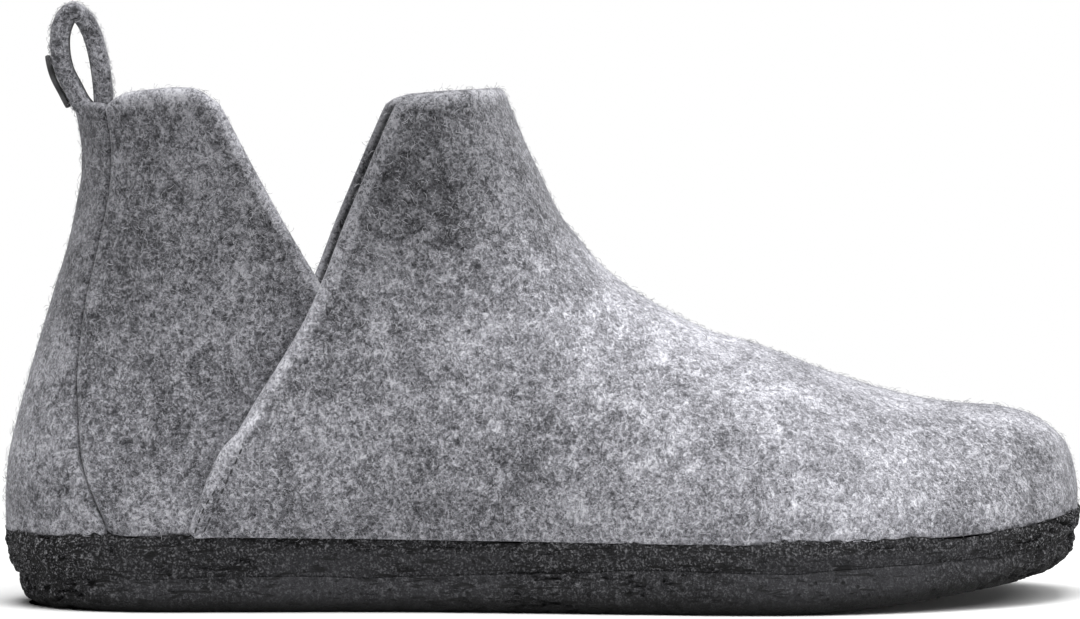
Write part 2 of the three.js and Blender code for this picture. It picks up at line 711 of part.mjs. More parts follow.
// A named mesh in its own material.
function piece(name, solid, colour, roughness) {
  const mesh = solid.getMesh();
  const geometry = new THREE.BufferGeometry();
  geometry.setAttribute("position", new THREE.BufferAttribute(Float32Array.from(mesh.vertProperties), 3));
  geometry.setIndex(Array.from(mesh.triVerts));
  geometry.computeVertexNormals();
  const material = new THREE.MeshStandardMaterial({ color: colour, roughness, metalness: 0 });
  const object = new THREE.Mesh(geometry, material);
  object.name = name;
  object.position.x = -REST_FROM_BACK;
  return object;
}

const slipper = new THREE.Group();
slipper.add(
  piece("outsole", makeOutsole(), "#38373a", 0.9),
  piece("midsole", makeMidsole(), "#343336", 0.95),
  piece("insole", makeInsole(), "#8d8d92", 0.95),
  piece("upper", makeUpper(), "#8e8f94", 0.95),
  piece("back_strip", makeBackStrip(), "#85868b", 0.95),
  piece("pull_loop", makePullLoop(), "#8a8b90", 0.95),
  piece("loop_tag", makeLoopTag(), "#2b2b2d", 0.8),
);

export default slipper;
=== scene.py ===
"""Felt slipper, the right shoe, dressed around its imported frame.

The felt panels, the footbed and both layers of the sole are rebuilt as fine meshes from the same last
that the frame follows. Shapes are worked out in millimetres from the heel's back and turned to metres
when a mesh is made: +X towards the toe, -Y the outer side of the foot, +Z up.
"""
import math
from functools import partial

import bpy
import numpy as np
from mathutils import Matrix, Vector


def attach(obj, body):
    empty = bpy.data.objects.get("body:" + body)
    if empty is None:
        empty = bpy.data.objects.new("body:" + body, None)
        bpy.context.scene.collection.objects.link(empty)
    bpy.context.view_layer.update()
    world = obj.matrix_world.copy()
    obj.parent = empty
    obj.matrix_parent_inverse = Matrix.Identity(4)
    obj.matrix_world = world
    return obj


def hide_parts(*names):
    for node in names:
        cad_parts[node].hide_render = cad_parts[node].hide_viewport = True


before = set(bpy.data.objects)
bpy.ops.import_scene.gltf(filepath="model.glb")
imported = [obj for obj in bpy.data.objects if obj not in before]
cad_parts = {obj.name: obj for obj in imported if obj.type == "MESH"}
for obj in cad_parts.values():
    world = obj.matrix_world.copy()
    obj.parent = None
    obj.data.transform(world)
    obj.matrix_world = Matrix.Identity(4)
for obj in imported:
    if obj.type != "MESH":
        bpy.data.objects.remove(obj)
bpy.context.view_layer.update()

# Sizes of the shoe, in millimetres
LENGTH = 288.0
BALL_WIDTH = 102.0
HEEL_WIDTH = 66.0
COLLAR_HEIGHT = 136.0
FELT = 4.0
CLEARANCE = 0.3
REST_FROM_BACK = 38.0

SOLE_HEIGHT = 19.5
OUTSOLE_THICKNESS = 9.0
SOLE_PROUD = 0.5
TOE_SPRING = 12.0
LAYER_RISE = 2.2
LAYER_SPRING = 0.62
INSOLE_THICKNESS = 5.0
HEEL_CUP = 4.0
ARCH_RISE = 5.0

LAP_RISE = 2.2
LAP_GAP = 0.8
LAP_BLEND = 30.0
PRESSED_OVER = 18.0
STITCHED_HEIGHT = 42.0

LOOP_HEIGHT = 27.0
LOOP_REACH = 16.0
LOOP_WIDTH = 18.0
LOOP_FELT = 5.0
TAG_WIDTH = 15.0
TAG_THICKNESS = 1.3
TAG_FROM = 0.06
TAG_TO = 0.255

# Fineness of the meshes
VAMP_GRID = (221, 104)
HEEL_GRID = (64, 84)
STRIP_GRID = (61, 90)
INSOLE_GRID = (110, 41)
LOOP_COLUMNS = 25
SOLE_POINTS = 420
SOLE_RINGS = 19

# Seeds of the lumps on each surface
VAMP_SEED = 11
HEEL_SEED = 23
STRIP_SEED = 31
INSOLE_SEED = 71
LOOP_SEED = 83
SOLE_SEED = 57
SEAM_SEED = 91
EDGE_SEED = 97

# Plan of the last: share of LENGTH, half widths and lean of the middle line in millimetres
SECTIONS = [
    # along, outer, inner, lean
    (0.0, 0.49 * HEEL_WIDTH, 0.49 * HEEL_WIDTH, 0.0),
    (0.15, 0.505 * HEEL_WIDTH, 0.51 * HEEL_WIDTH, 0.0),
    (0.35, 0.358 * BALL_WIDTH, 0.315 * BALL_WIDTH, 0.0),
    (0.45, 0.405 * BALL_WIDTH, 0.322 * BALL_WIDTH, 0.0),
    (0.55, 0.465 * BALL_WIDTH, 0.39 * BALL_WIDTH, 0.0),
    (0.65, 0.525 * BALL_WIDTH, 0.47 * BALL_WIDTH, 0.003 * BALL_WIDTH),
    (0.72, 0.55 * BALL_WIDTH, 0.505 * BALL_WIDTH, 0.01 * BALL_WIDTH),
    (0.8, 0.565 * BALL_WIDTH, 0.515 * BALL_WIDTH, 0.03 * BALL_WIDTH),
    (0.9, 0.575 * BALL_WIDTH, 0.5 * BALL_WIDTH, 0.062 * BALL_WIDTH),
    (1.0, 0.585 * BALL_WIDTH, 0.48 * BALL_WIDTH, 0.088 * BALL_WIDTH),
]

# Back line of the heel: share of COLLAR_HEIGHT, set in and rounding as shares of LENGTH
BACK_LINE = [
    # up, set in, rounding
    (0.0, 0.0, 0.155),
    (0.147, 0.0, 0.16),
    (0.265, 0.0015, 0.165),
    (0.353, 0.0095, 0.17),
    (0.47, 0.0253, 0.178),
    (0.588, 0.0415, 0.186),
    (0.706, 0.0585, 0.194),
    (0.824, 0.07, 0.202),
    (0.912, 0.0695, 0.208),
    (1.0, 0.06, 0.212),
    (1.12, 0.043, 0.215),
]

# Front line of the last, down the instep to the toe tip: shares of LENGTH and COLLAR_HEIGHT
CREST_LINE = [
    # along, up
    (0.0, 3.3),
    (0.4165, 1.205),
    (0.4566, 1.0),
    (0.481, 0.881),
    (0.5087, 0.763),
    (0.5295, 0.704),
    (0.5535, 0.646),
    (0.593, 0.587),
    (0.6475, 0.528),
    (0.696, 0.4985),
    (0.7685, 0.44),
    (0.8335, 0.3985),
    (0.871, 0.382),
    (0.908, 0.3745),
    (0.927, 0.3705),
    (0.958, 0.3525),
    (0.983, 0.313),
    (0.9925, 0.28),
    (0.9985, 0.235),
    (1.0, 0.195),
]

# How full the sides are at each height
FULLNESS = [
    # up, share
    (0.0, 0.93),
    (0.14, 0.98),
    (0.22, 1.0),
    (0.4, 0.97),
    (0.6, 0.95),
    (0.8, 0.99),
    (1.0, 1.06),
    (1.12, 1.08),
]

# The sole from the side: share of LENGTH, top as a share of SOLE_HEIGHT, spring of TOE_SPRING
SOLE_LINE = [
    # along, top, spring
    (0.0, 0.985, 0.0),
    (0.12, 1.0, 0.0),
    (0.47, 0.944, 0.0),
    (0.64, 0.923, 0.0),
    (0.7, 0.93, 0.0),
    (0.76, 0.948, 0.07),
    (0.82, 0.97, 0.22),
    (0.88, 1.0, 0.4),
    (0.925, 1.05, 0.54),
    (0.965, 1.13, 0.72),
    (1.0, 1.19, 0.95),
]
FLAT_TO = 0.7

# Side of each layer of the sole, bottom to top: share of its height, insets as shares of SOLE_HEIGHT
OUTSOLE_SIDE = [
    # part, inset, more at the heel, more at the toe
    (0.0, 0.15, 0.32, 0.13),
    (0.22, 0.05, 0.27, 0.08),
    (0.6, 0.005, 0.24, 0.08),
    (1.0, 0.02, 0.2, 0.07),
]
MIDSOLE_SIDE = [
    # part, inset, more at the heel, more at the toe
    (0.0, 0.03, 0.14, 0.04),
    (0.3, 0.005, 0.09, 0.02),
    (0.8, 0.0, 0.03, 0.0),
    (1.0, 0.025, 0.0, 0.0),
]

# Panel edges from the side: shares of LENGTH and COLLAR_HEIGHT
HEEL_FRONT = [
    # along, up
    (0.3815, 0.0),
    (0.3795, 0.15),
    (0.3675, 0.33),
    (0.33, 0.49),
    (0.2857, 0.63),
    (0.2317, 0.827),
    (0.193, 0.98),
]
VAMP_REAR = [
    # along, up
    (0.1656, 0.0),
    (0.1672, 0.149),
    (0.1775, 0.215),
    (0.185, 0.259),
    (0.1976, 0.314),
    (0.2111, 0.346),
    (0.2285, 0.407),
    (0.2674, 0.541),
    (0.2878, 0.632),
    (0.3097, 0.751),
    (0.3545, 0.97),
]
LAP_TOP = 0.632 * COLLAR_HEIGHT
HEEL_TOP = [
    # along, up
    (-0.07, 0.97),
    (0.06, 0.97),
    (0.088, 0.97),
    (0.105, 0.988),
    (0.125, 0.996),
    (0.155, 1.0015),
    (0.175, 0.9995),
    (0.19, 0.9925),
]
VAMP_TOP = [
    # along, up
    (0.3545, 0.97),
    (0.362, 0.98),
    (0.3764, 0.99),
    (0.4205, 0.997),
    (0.4572, 1.0),
]
STRIP_EDGE = [
    # up, reach
    (0.0, 0.1077),
    (0.147, 0.0939),
    (0.235, 0.076),
    (0.294, 0.0651),
    (0.39, 0.0512),
    (0.456, 0.0408),
    (0.588, 0.03),
    (0.72, 0.0256),
    (0.96, 0.025),
    (1.12, 0.025),
]

# Middle line of the pull loop: back from the wall's inner face as a share of LOOP_REACH, up from the
# collar as a share of LOOP_HEIGHT. Both ends run on below the collar: the rear one into the strip
LOOP_LINE = [
    # back, up
    (-0.02, -0.09),
    (0.13, 0.012),
    (0.26, 0.155),
    (0.4, 0.322),
    (0.465, 0.507),
    (0.46, 0.69),
    (0.37, 0.84),
    (0.245, 0.895),
    (0.09, 0.84),
    (-0.05, 0.69),
    (-0.14, 0.507),
    (-0.195, 0.322),
    (-0.23, 0.137),
    (-0.25, -0.06),
    (-0.315, -0.31),
    (-0.335, -0.46),
]

# The two rows of stitches at the lower end of each rear edge of the vamp: places in the side view
STITCH_ROWS = [
    [(61.7, 42.2), (56.7, 31.3), (52.5, 22.0)],
    [(54.7, 31.5), (52.3, 27.6), (50.1, 21.8)],
]
STITCH_PITCH = 2.7
STITCH_LENGTH = 1.7
STITCH_STAND = 0.1
STITCH_TROUGH = 0.45
THREAD = 0.55

# Main creases of the felt: depth, less than 0 for a swell, width, and the line in the side view
CREASES = [
    (0.9, 1.8, [(268.5, 44.0), (272.0, 33.0), (271.0, 24.0)]),
    (0.6, 1.5, [(274.0, 40.0), (276.5, 32.0)]),
    (0.35, 5.0, [(140.0, 104.0), (150.0, 84.0), (163.0, 70.0)]),
    (0.3, 6.0, [(96.0, 60.0), (104.0, 40.0), (106.0, 24.0)]),
    (-0.3, 7.0, [(118.0, 64.0), (124.0, 42.0), (124.0, 26.0)]),
    (0.3, 6.0, [(30.0, 96.0), (34.0, 70.0), (42.0, 48.0)]),
    (-0.35, 7.0, [(205.0, 52.0), (216.0, 40.0), (219.0, 28.0)]),
    (0.3, 6.0, [(232.0, 50.0), (240.0, 36.0), (241.0, 26.0)]),
]


# Curves and fields


def curve_through(rows, column=1, key=0):
    """A smooth function through one column of a table, over its key column."""
    at = np.array([row[key] for row in rows])
    value = np.array([row[column] for row in rows])
    before = np.maximum(np.arange(len(at)) - 1, 0)
    after = np.minimum(np.arange(len(at)) + 1, len(at) - 1)
    slope = (value[after] - value[before]) / (at[after] - at[before])

    def curve(x):
        x = np.asarray(x, float)
        i = np.clip(np.searchsorted(at, x, side="left") - 1, 0, len(at) - 2)
        span = at[i + 1] - at[i]
        t = (x - at[i]) / span
        rise = value[i + 1] - value[i]
        a = slope[i] * span - rise
        b = rise - slope[i + 1] * span
        inside = value[i] + rise * t + t * (1 - t) * (a * (1 - t) + b * t)
        low = value[0] + slope[0] * (x - at[0])
        high = value[-1] + slope[-1] * (x - at[-1])
        return np.where(x < at[0], low, np.where(x > at[-1], high, inside))

    return curve


def step(start, end, x):
    """0 before start, 1 after end, smooth between."""
    t = np.clip((np.asarray(x, float) - start) / (end - start), 0, 1)
    return t * t * (3 - 2 * t)


def lumps(points, size, seed, octaves=1):
    """Smooth noise from -1 to 1 whose lumps measure size, at points of any shape (..., 3)."""
    count = 32
    table = np.random.default_rng(seed).uniform(-1, 1, (count, count, count))
    total = np.zeros(points.shape[:-1])
    weight_sum = 0.0
    for octave in range(octaves):
        weight = 0.5**octave
        place = points / size * 2**octave + 7.3 * octave
        cell = np.floor(place).astype(int)
        part = place - cell
        part = part * part * (3 - 2 * part)
        value = np.zeros(points.shape[:-1])
        for corner in np.ndindex(2, 2, 2):
            index = (cell + corner) % count
            share = np.prod(np.where(corner, part, 1 - part), axis=-1)
            value += table[index[..., 0], index[..., 1], index[..., 2]] * share
        total += weight * value
        weight_sum += weight
    return total / weight_sum


def distance_to_line(x, z, line):
    """Distance in the side view from (x, z) to a polyline."""
    best = np.full(np.broadcast(x, z).shape, 1e9)
    for (x0, z0), (x1, z1) in zip(line[:-1], line[1:]):
        dx, dz = x1 - x0, z1 - z0
        t = np.clip(((x - x0) * dx + (z - z0) * dz) / (dx * dx + dz * dz), 0, 1)
        best = np.minimum(best, np.hypot(x - x0 - t * dx, z - z0 - t * dz))
    return best


def lengths_along(line):
    """Distance of each point of a line from its first one."""
    return np.concatenate([[0], np.cumsum(np.linalg.norm(np.diff(line, axis=0), axis=1))])


def points_at(line, keys, want):
    """Points of a line where its keys reach the wanted values."""
    return np.stack([np.interp(want, keys, line[:, c]) for c in range(line.shape[1])], -1)


def even_line(points, count):
    """count points spaced evenly along a smooth line through points."""
    points = np.array(points, float)
    rows = [(key, *point) for key, point in enumerate(points)]
    fine = np.linspace(0, len(points) - 1, 400)
    line = np.stack([curve_through(rows, column)(fine) for column in range(1, points.shape[1] + 1)], -1)
    length = lengths_along(line)
    return points_at(line, length, np.linspace(0, length[-1], count))


# The last

section_outer = curve_through(SECTIONS, 1)
section_inner = curve_through(SECTIONS, 2)
section_lean = curve_through(SECTIONS, 3)
back_share = curve_through(BACK_LINE, 1)
rounding_share = curve_through(BACK_LINE, 2)
crest_share = curve_through(CREST_LINE)
fullness = curve_through(FULLNESS)
sole_top_share = curve_through(SOLE_LINE, 1)
spring_share = curve_through(SOLE_LINE, 2)
heel_front_share = curve_through(HEEL_FRONT, 0, key=1)
vamp_rear_share = curve_through(VAMP_REAR, 0, key=1)
heel_top_share = curve_through(HEEL_TOP)
strip_share = curve_through(STRIP_EDGE)

TOE_ROUNDING = 0.36 * LENGTH
BACK_CURVE = (2.2, 2.1)
TOE_CURVE = (2.6, 2.2)
CROWN_CURVE = (2.5, 2.3)


def back_line(z):
    return LENGTH * back_share(z / COLLAR_HEIGHT)


def crest_line(x):
    return COLLAR_HEIGHT * crest_share(x / LENGTH)


def middle(x):
    return section_lean(x / LENGTH)


def sole_top(x):
    return SOLE_HEIGHT * sole_top_share(np.clip(x / LENGTH, 0, 1))


def underside(x):
    share = np.clip(x / LENGTH, 0, 1)
    return np.where(share <= FLAT_TO, 0, np.maximum(TOE_SPRING * spring_share(share), 0))


def layer_line(x):
    """Height of the line between the sole's layers."""
    return OUTSOLE_THICKNESS + underside(x) * LAYER_SPRING + LAYER_RISE * step(0.2, 0.6, x / LENGTH)


def heel_front(z):
    return LENGTH * heel_front_share(z / COLLAR_HEIGHT)


def vamp_rear(z):
    return LENGTH * vamp_rear_share(z / COLLAR_HEIGHT)


def strip_edge(z):
    return back_line(z) + LENGTH * strip_share(z / COLLAR_HEIGHT)


def rounded_end(depth, along, across):
    """A rounded end: 0 at its tip, 1 from its full depth on."""
    u = np.clip(depth, 0, 1)
    return np.power(1 - np.power(1 - u, along), 1 / across)


def half_width(x, z, side):
    """Half width of the last at a place seen from the side. side is -1 outer, 1 inner."""
    share = x / LENGTH
    plan = np.where(side < 0, section_outer(share), section_inner(share))
    back = rounded_end((x - back_line(z)) / (LENGTH * rounding_share(z / COLLAR_HEIGHT)), *BACK_CURVE)
    toe = rounded_end((LENGTH - x) / TOE_ROUNDING, *TOE_CURVE)
    height = np.clip(z / crest_line(np.minimum(x, LENGTH)), 0, 1)
    crown = np.power(1 - np.power(height, CROWN_CURVE[0]), 1 / CROWN_CURVE[1])
    return plan * fullness(z / COLLAR_HEIGHT) * back * toe * crown


def on_last(x, z, side):
    """Points of the last's surface, side being -1, 0 (on the middle line) or 1."""
    return np.stack([x, middle(x) + side * half_width(x, z, side), z], axis=-1)


def plan_ring(count, height):
    """The last's outline from above at a height: heel back, outer side, toe tip, inner side."""
    x = LENGTH * (1 - np.cos(np.pi * np.linspace(0, 1, count + 1))) / 2
    outer = np.stack([x, middle(x) - half_width(x, height(x), -1)], -1)
    inner = np.stack([x, middle(x) + half_width(x, height(x), 1)], -1)[-2:0:-1]
    return np.concatenate([outer, inner])


def vamp_offset(x, z):
    """The vamp rises where it laps over the heel panel, less towards the sole and the collar."""
    away = 1 - step(0, LAP_BLEND, x - heel_front(np.minimum(z, LAP_TOP)))
    drawn_in = 0.3 + 0.7 * step(0, 14, z - sole_top(x))
    return LAP_RISE * away * drawn_in * (1 - step(0.7, 0.95, z / COLLAR_HEIGHT))


def heel_offset(x, z):
    """The heel panel sinks under the vamp, and stands a little further off above the stitches."""
    gap = CLEARANCE + (LAP_GAP - CLEARANCE) * step(STITCHED_HEIGHT, 1.3 * STITCHED_HEIGHT, z)
    drawn_out = 0.3 + 0.7 * step(0, 12, z - sole_top(x))
    return -(FELT - LAP_RISE + gap) * step(-PRESSED_OVER, 0, x - vamp_rear(z)) * drawn_out


# Meshes


def new_object(name, data):
    """An object in the scene."""
    made = bpy.data.objects.new(name, data)
    bpy.context.scene.collection.objects.link(made)
    return made


def mesh_object(name, points, faces, attributes=None, edges=()):
    """A mesh in metres around the frame's origin, with float attributes on its points."""
    mesh = bpy.data.meshes.new(name)
    metres = (np.asarray(points, float) - [REST_FROM_BACK, 0, 0]) * 0.001
    mesh.from_pydata(metres.tolist(), edges, faces)
    mesh.update()
    for key, values in (attributes or {}).items():
        mesh.attributes.new(key, "FLOAT", "POINT").data.foreach_set("value", np.asarray(values, np.float32))
    mesh.shade_smooth()
    return new_object(name, mesh)


def unit(vectors):
    return vectors / np.maximum(np.linalg.norm(vectors, axis=-1, keepdims=True), 1e-9)


def grid_normals(grid):
    """Unit normals of a grid of points (rows, columns, 3)."""
    normal = unit(np.cross(np.gradient(grid, axis=0), np.gradient(grid, axis=1)))
    # Where two edges run on into each other the corner has no sure normal: it takes its neighbour's
    near = 4
    ends = ((slice(0, near), near), (slice(-near, None), -near - 1))
    for row, row_beside in ends:
        for column, column_beside in ends:
            normal[row, column] = normal[row_beside, column_beside]
    return normal


def running_length(grid, axis):
    """Distance along the grid's rows or columns, from the first one."""
    lengths = np.linalg.norm(np.diff(grid, axis=axis), axis=-1)
    start = np.zeros_like(lengths[:1] if axis == 0 else lengths[:, :1])
    return np.cumsum(np.concatenate([start, lengths], axis), axis)


class Shell:
    """Gathers panels with a real thickness and rounded edges into one mesh."""

    RIM_STEPS = 6
    # The inner faces are painted darker, as shade
    INSIDE_PAINTED_SHADE = 0.3
    ROUNDED_OVER = 4
    FIBRES_FROM = 1.0

    def __init__(self):
        self.points = []
        self.faces = []
        self.fields = {"edge_highlight": [], "outer": [], "painted_shading": []}
        self.count = 0

    def panel(self, surface, outward, offset, thickness, rounding, pale=(0, 0, 0, 0), relief=0.0, painted_shading=1.0):
        """One panel over a grid of points, raised by offset and as thick as thickness.

        rounding and pale hold a value for the first row, the last row, the first column and the last
        column: how far that edge is rounded, and how wide the painted highlight along its cut edge shows.
        """
        normals = grid_normals(surface)
        if np.sum(normals * outward) < 0:
            surface, normals = surface[:, ::-1], -normals[:, ::-1]
            grid = surface.shape[:2]
            offset, relief, painted_shading = (np.flip(np.broadcast_to(v, grid), 1) for v in (offset, relief, painted_shading))
            rounding = (*rounding[:2], rounding[3], rounding[2])
            pale = (*pale[:2], pale[3], pale[2])
        rows, columns, _ = surface.shape
        # The shading given is light and shade painted on the panel's colour
        offset, relief, painted_shading = (np.broadcast_to(v, (rows, columns)) for v in (offset, relief, painted_shading))
        down = running_length(surface, 0)
        across = running_length(surface, 1)
        distances = [down, down[-1:] - down, across, across[:, -1:] - across]
        leave = [surface[0] - surface[1], surface[-1] - surface[-2]]
        leave += [surface[:, 0] - surface[:, 1], surface[:, -1] - surface[:, -2]]
        facing = [normals[0], normals[-1], normals[:, 0], normals[:, -1]]
        edges = [surface[0], surface[-1], surface[:, 0], surface[:, -1]]
        square = [unit(np.cross(np.gradient(edge, axis=0), n)) for edge, n in zip(edges, facing)]
        leave = [s * np.sign(np.sum(s * v)) for s, v in zip(square, leave)]
        # Painted highlight along the cut edges that have a pale width
        edge_highlight = np.zeros((rows, columns))
        pulls = []
        for k in range(4):
            fade = 1 - step(0, self.ROUNDED_OVER * max(rounding[k], 0.1), distances[k])
            direction = leave[k][None] if k < 2 else leave[k][:, None]
            pulls.append(direction * (fade * rounding[k])[..., None])
            if pale[k] > 0:
                edge_highlight = np.maximum(edge_highlight, np.exp(-((distances[k] / pale[k]) ** 2)))
        base = surface - sum(pulls)
        # Where two edges pull the same way, the pull counts once
        for a in pulls[:2]:
            for b in pulls[2:]:
                same = np.maximum(np.sum(unit(a) * unit(b), -1, keepdims=True), 0)
                shorter = np.minimum(np.linalg.norm(a, axis=-1), np.linalg.norm(b, axis=-1))
                base = base + unit(a + b) * same * shorter[..., None]
        outer = base + normals * (offset + relief)[..., None]
        inner = base + normals * (offset - thickness)[..., None]
        size = rows * columns
        index = np.arange(size).reshape(rows, columns)
        quads = np.stack([index[:-1, :-1], index[1:, :-1], index[1:, 1:], index[:-1, 1:]], -1).reshape(-1, 4)
        faces = [quads, quads[:, ::-1] + size]
        loop = [(0, j, 0) for j in range(columns - 1)]
        loop += [(i, columns - 1, 3) for i in range(rows - 1)]
        loop += [(rows - 1, j, 1) for j in range(columns - 1, 0, -1)]
        loop += [(i, 0, 2) for i in range(rows - 1, 0, -1)]
        flat = np.array([i * columns + j for i, j, _ in loop])
        out = np.array([leave[k][j if k < 2 else i] for i, j, k in loop])
        swell = np.array([rounding[k] for _, _, k in loop], float)
        # Rim rings of a pale edge carry the painted highlight
        highlighted = np.array([float(pale[k] > 0) for _, _, k in loop])
        out = unit(out + np.roll(out, 1, 0))
        swell = np.minimum(swell, np.roll(swell, 1))
        top = outer.reshape(-1, 3)[flat]
        low = inner.reshape(-1, 3)[flat]
        points = [outer.reshape(-1, 3), inner.reshape(-1, 3)]
        # The inner face takes painted shade, darker than the outer one
        fields = {
            "edge_highlight": [edge_highlight.reshape(-1), edge_highlight.reshape(-1)],
            "outer": [np.ones(size), np.zeros(size)],
            "painted_shading": [painted_shading.reshape(-1), painted_shading.reshape(-1) * self.INSIDE_PAINTED_SHADE],
        }
        rings = [flat]
        for k in range(1, self.RIM_STEPS):
            angle = math.pi * k / self.RIM_STEPS
            rounded = out * (swell * math.sin(angle))[:, None]
            points.append((top + low) / 2 + (top - low) / 2 * math.cos(angle) + rounded)
            fields["edge_highlight"].append(highlighted)
            fields["outer"].append((swell > self.FIBRES_FROM).astype(float))
            fields["painted_shading"].append(painted_shading.reshape(-1)[flat])
            rings.append(2 * size + (k - 1) * len(flat) + np.arange(len(flat)))
        rings.append(flat + size)
        for near, far in zip(rings[:-1], rings[1:]):
            faces.append(np.stack([near, np.roll(near, -1), np.roll(far, -1), far], -1))
        everything = np.concatenate(points)
        # The painted highlight on the cut edge is patchy, fades towards the sole, and also lifts the painted
        # shading
        patchy = 0.35 + 0.65 * step(25, 60, everything[:, 2])
        patchy = patchy * (0.75 + 0.25 * lumps(everything, 5.0, EDGE_SEED))
        fields["edge_highlight"] = [np.concatenate(fields["edge_highlight"]) * patchy]
        fields["painted_shading"] = [np.concatenate(fields["painted_shading"]) * (1 + 0.6 * fields["edge_highlight"][0])]
        self.points.append(everything)
        self.faces.append(np.concatenate(faces) + self.count)
        for key, values in fields.items():
            self.fields[key].append(np.concatenate(values))
        self.count += len(self.points[-1])

    def object(self, name):
        fields = {key: np.concatenate(values) for key, values in self.fields.items()}
        return mesh_object(name, np.concatenate(self.points), np.concatenate(self.faces).tolist(), fields)


def felt_relief(points, seed, small=0.16, large=0.3):
    """Soft lumps of thick felt: 7 mm ones and 28 mm ones."""
    return small * lumps(points, 7.0, seed, 2) + large * lumps(points, 28.0, seed + 1, 2)


def creases(x, z):
    """How far the felt stands in or out in its main creases."""
    depth = np.zeros_like(x)
    for amount, width, line in CREASES:
        depth -= amount * np.exp(-((distance_to_line(x, z, line) / width) ** 2))
    return depth


def felt_painted_shading(x, z):
    """Light and shade painted on the felt, fitted to the photo's light and dark.

    It is painted paler over the ball and the instep, and painted darker, as shade, up the heel, at the
    collar, at the toe, along the sole and in the creases.
    """
    ball = 0.5 * step(130, 235, x)
    heel = 0.27 * step(40, 100, z) * (1 - step(95, 160, x))
    collar = 0.2 * step(70, 112, z) * step(50, 90, x)
    instep = 0.5 * np.exp(-(((x - 165) / 55) ** 2) - ((z - 80) / 22) ** 2)
    toe = 0.46 * step(220, 275, x) * (1 - 0.5 * step(38, 48, z))
    low = 0.08 * (1 - step(22, 45, z))
    return 0.73 + ball + instep - heel - collar - toe - low + 0.25 * creases(x, z)


# The upper: the vamp, one panel from its outer rear edge over the toe and instep to its inner rear edge,
# and the two heel panels


def vamp_side_view(columns, rows):
    """Places in the side view, and sides, for a grid that runs over the crest."""
    heights = np.linspace(SOLE_HEIGHT, VAMP_REAR[-1][1] * COLLAR_HEIGHT, 60)
    rear = even_line(np.stack([vamp_rear(heights), heights], -1), rows)
    crest_rows = [(share * LENGTH, up * COLLAR_HEIGHT) for share, up in CREST_LINE[:1:-1]]
    crest = even_line([(LENGTH, sole_top(LENGTH) + CLEARANCE), *crest_rows], rows)
    b = np.linspace(-1, 1, columns)
    a = np.sign(b) * (1 - (1 - np.abs(b)) ** 1.6)
    w = np.cos(a * math.pi / 2)[None, :, None]
    place = (1 - w) * rear[:, None, :] + w * crest[:, None, :]
    up = np.linspace(0, 1, rows)[:, None]
    x, z = place[..., 0], place[..., 1]
    z = z + (sole_top(x[:1]) + CLEARANCE - z[:1]) * (1 - up) ** 2
    top_rows = np.array(VAMP_TOP) * [LENGTH, COLLAR_HEIGHT]
    top_x = np.interp(1 - w[0, :, 0], [0, 1], [top_rows[-1, 0], top_rows[0, 0]])
    top_z = np.interp(top_x, top_rows[:, 0], top_rows[:, 1]) + 0.9 * w[0, :, 0]
    z = z + (top_z[None, :] - z[-1:]) * up**5
    return x, z, np.sign(b)[None, :] * np.ones_like(x)


def stitch_troughs(x, z):
    """The stitches pull two narrow troughs into the vamp near its rear edge."""
    depth = np.zeros_like(x)
    for line in STITCH_ROWS:
        depth -= STITCH_TROUGH * np.exp(-((distance_to_line(x, z, line) / 1.0) ** 2))
    return depth


def make_upper():
    """The vamp and both heel panels as one mesh."""
    shell = Shell()
    cut = FELT / 2
    columns, rows = VAMP_GRID
    x, z, side = vamp_side_view(columns, rows)
    crest = columns // 2
    # Each row meets the crest exactly: its heights are measured against its own crest point
    over = np.clip(z[:, crest] / crest_line(np.minimum(x[:, crest], LENGTH)), 0.96, 1.04)[:, None]
    near_crest = 1 - np.abs(np.linspace(-1, 1, columns))[None, :]
    measured = z * (1 + (1 / over - 1) * near_crest)
    surface = on_last(x, z, side)
    surface[..., 1] = middle(x) + side * half_width(x, measured, side)
    surface[:, crest, 1] = middle(x[:, crest])
    relief = felt_relief(surface, VAMP_SEED) + stitch_troughs(x, z) + creases(x, z)
    shell.panel(
        surface,
        surface - [150, 0, 20],
        vamp_offset(x, z),
        FELT,
        rounding=(0.3, cut, cut, cut),
        pale=(0, 2.0, 2.1, 2.1),
        relief=relief,
        painted_shading=felt_painted_shading(x, z),
    )
    g = np.linspace(0, 1, HEEL_GRID[0])[None, :]
    h = np.linspace(0, 1, HEEL_GRID[1])[:, None]
    for side in (-1, 1):
        z = SOLE_HEIGHT + (COLLAR_HEIGHT - SOLE_HEIGHT) * h * np.ones_like(g)
        for _ in range(4):
            x = strip_edge(z) + CLEARANCE / 2 + (heel_front(z) - strip_edge(z)) * g
            bottom = sole_top(x) + CLEARANCE
            corner = np.clip(1 - (heel_front(z) - x) / 5.0, 0, 1)
            top = COLLAR_HEIGHT * heel_top_share(np.clip(x / LENGTH, -0.07, 0.19)) - 2.6 * corner**2
            z = bottom + (top - bottom) * h
        surface = on_last(x, z, side)
        shell.panel(
            surface,
            [0, side, 0],
            heel_offset(x, z),
            FELT,
            rounding=(0.3, cut, 1.3, cut),
            pale=(0, 2.3, 0, 1.8),
            relief=felt_relief(surface, HEEL_SEED + side) + creases(x, z),
            painted_shading=felt_painted_shading(x, z),
        )
    return shell.object("upper_felt")


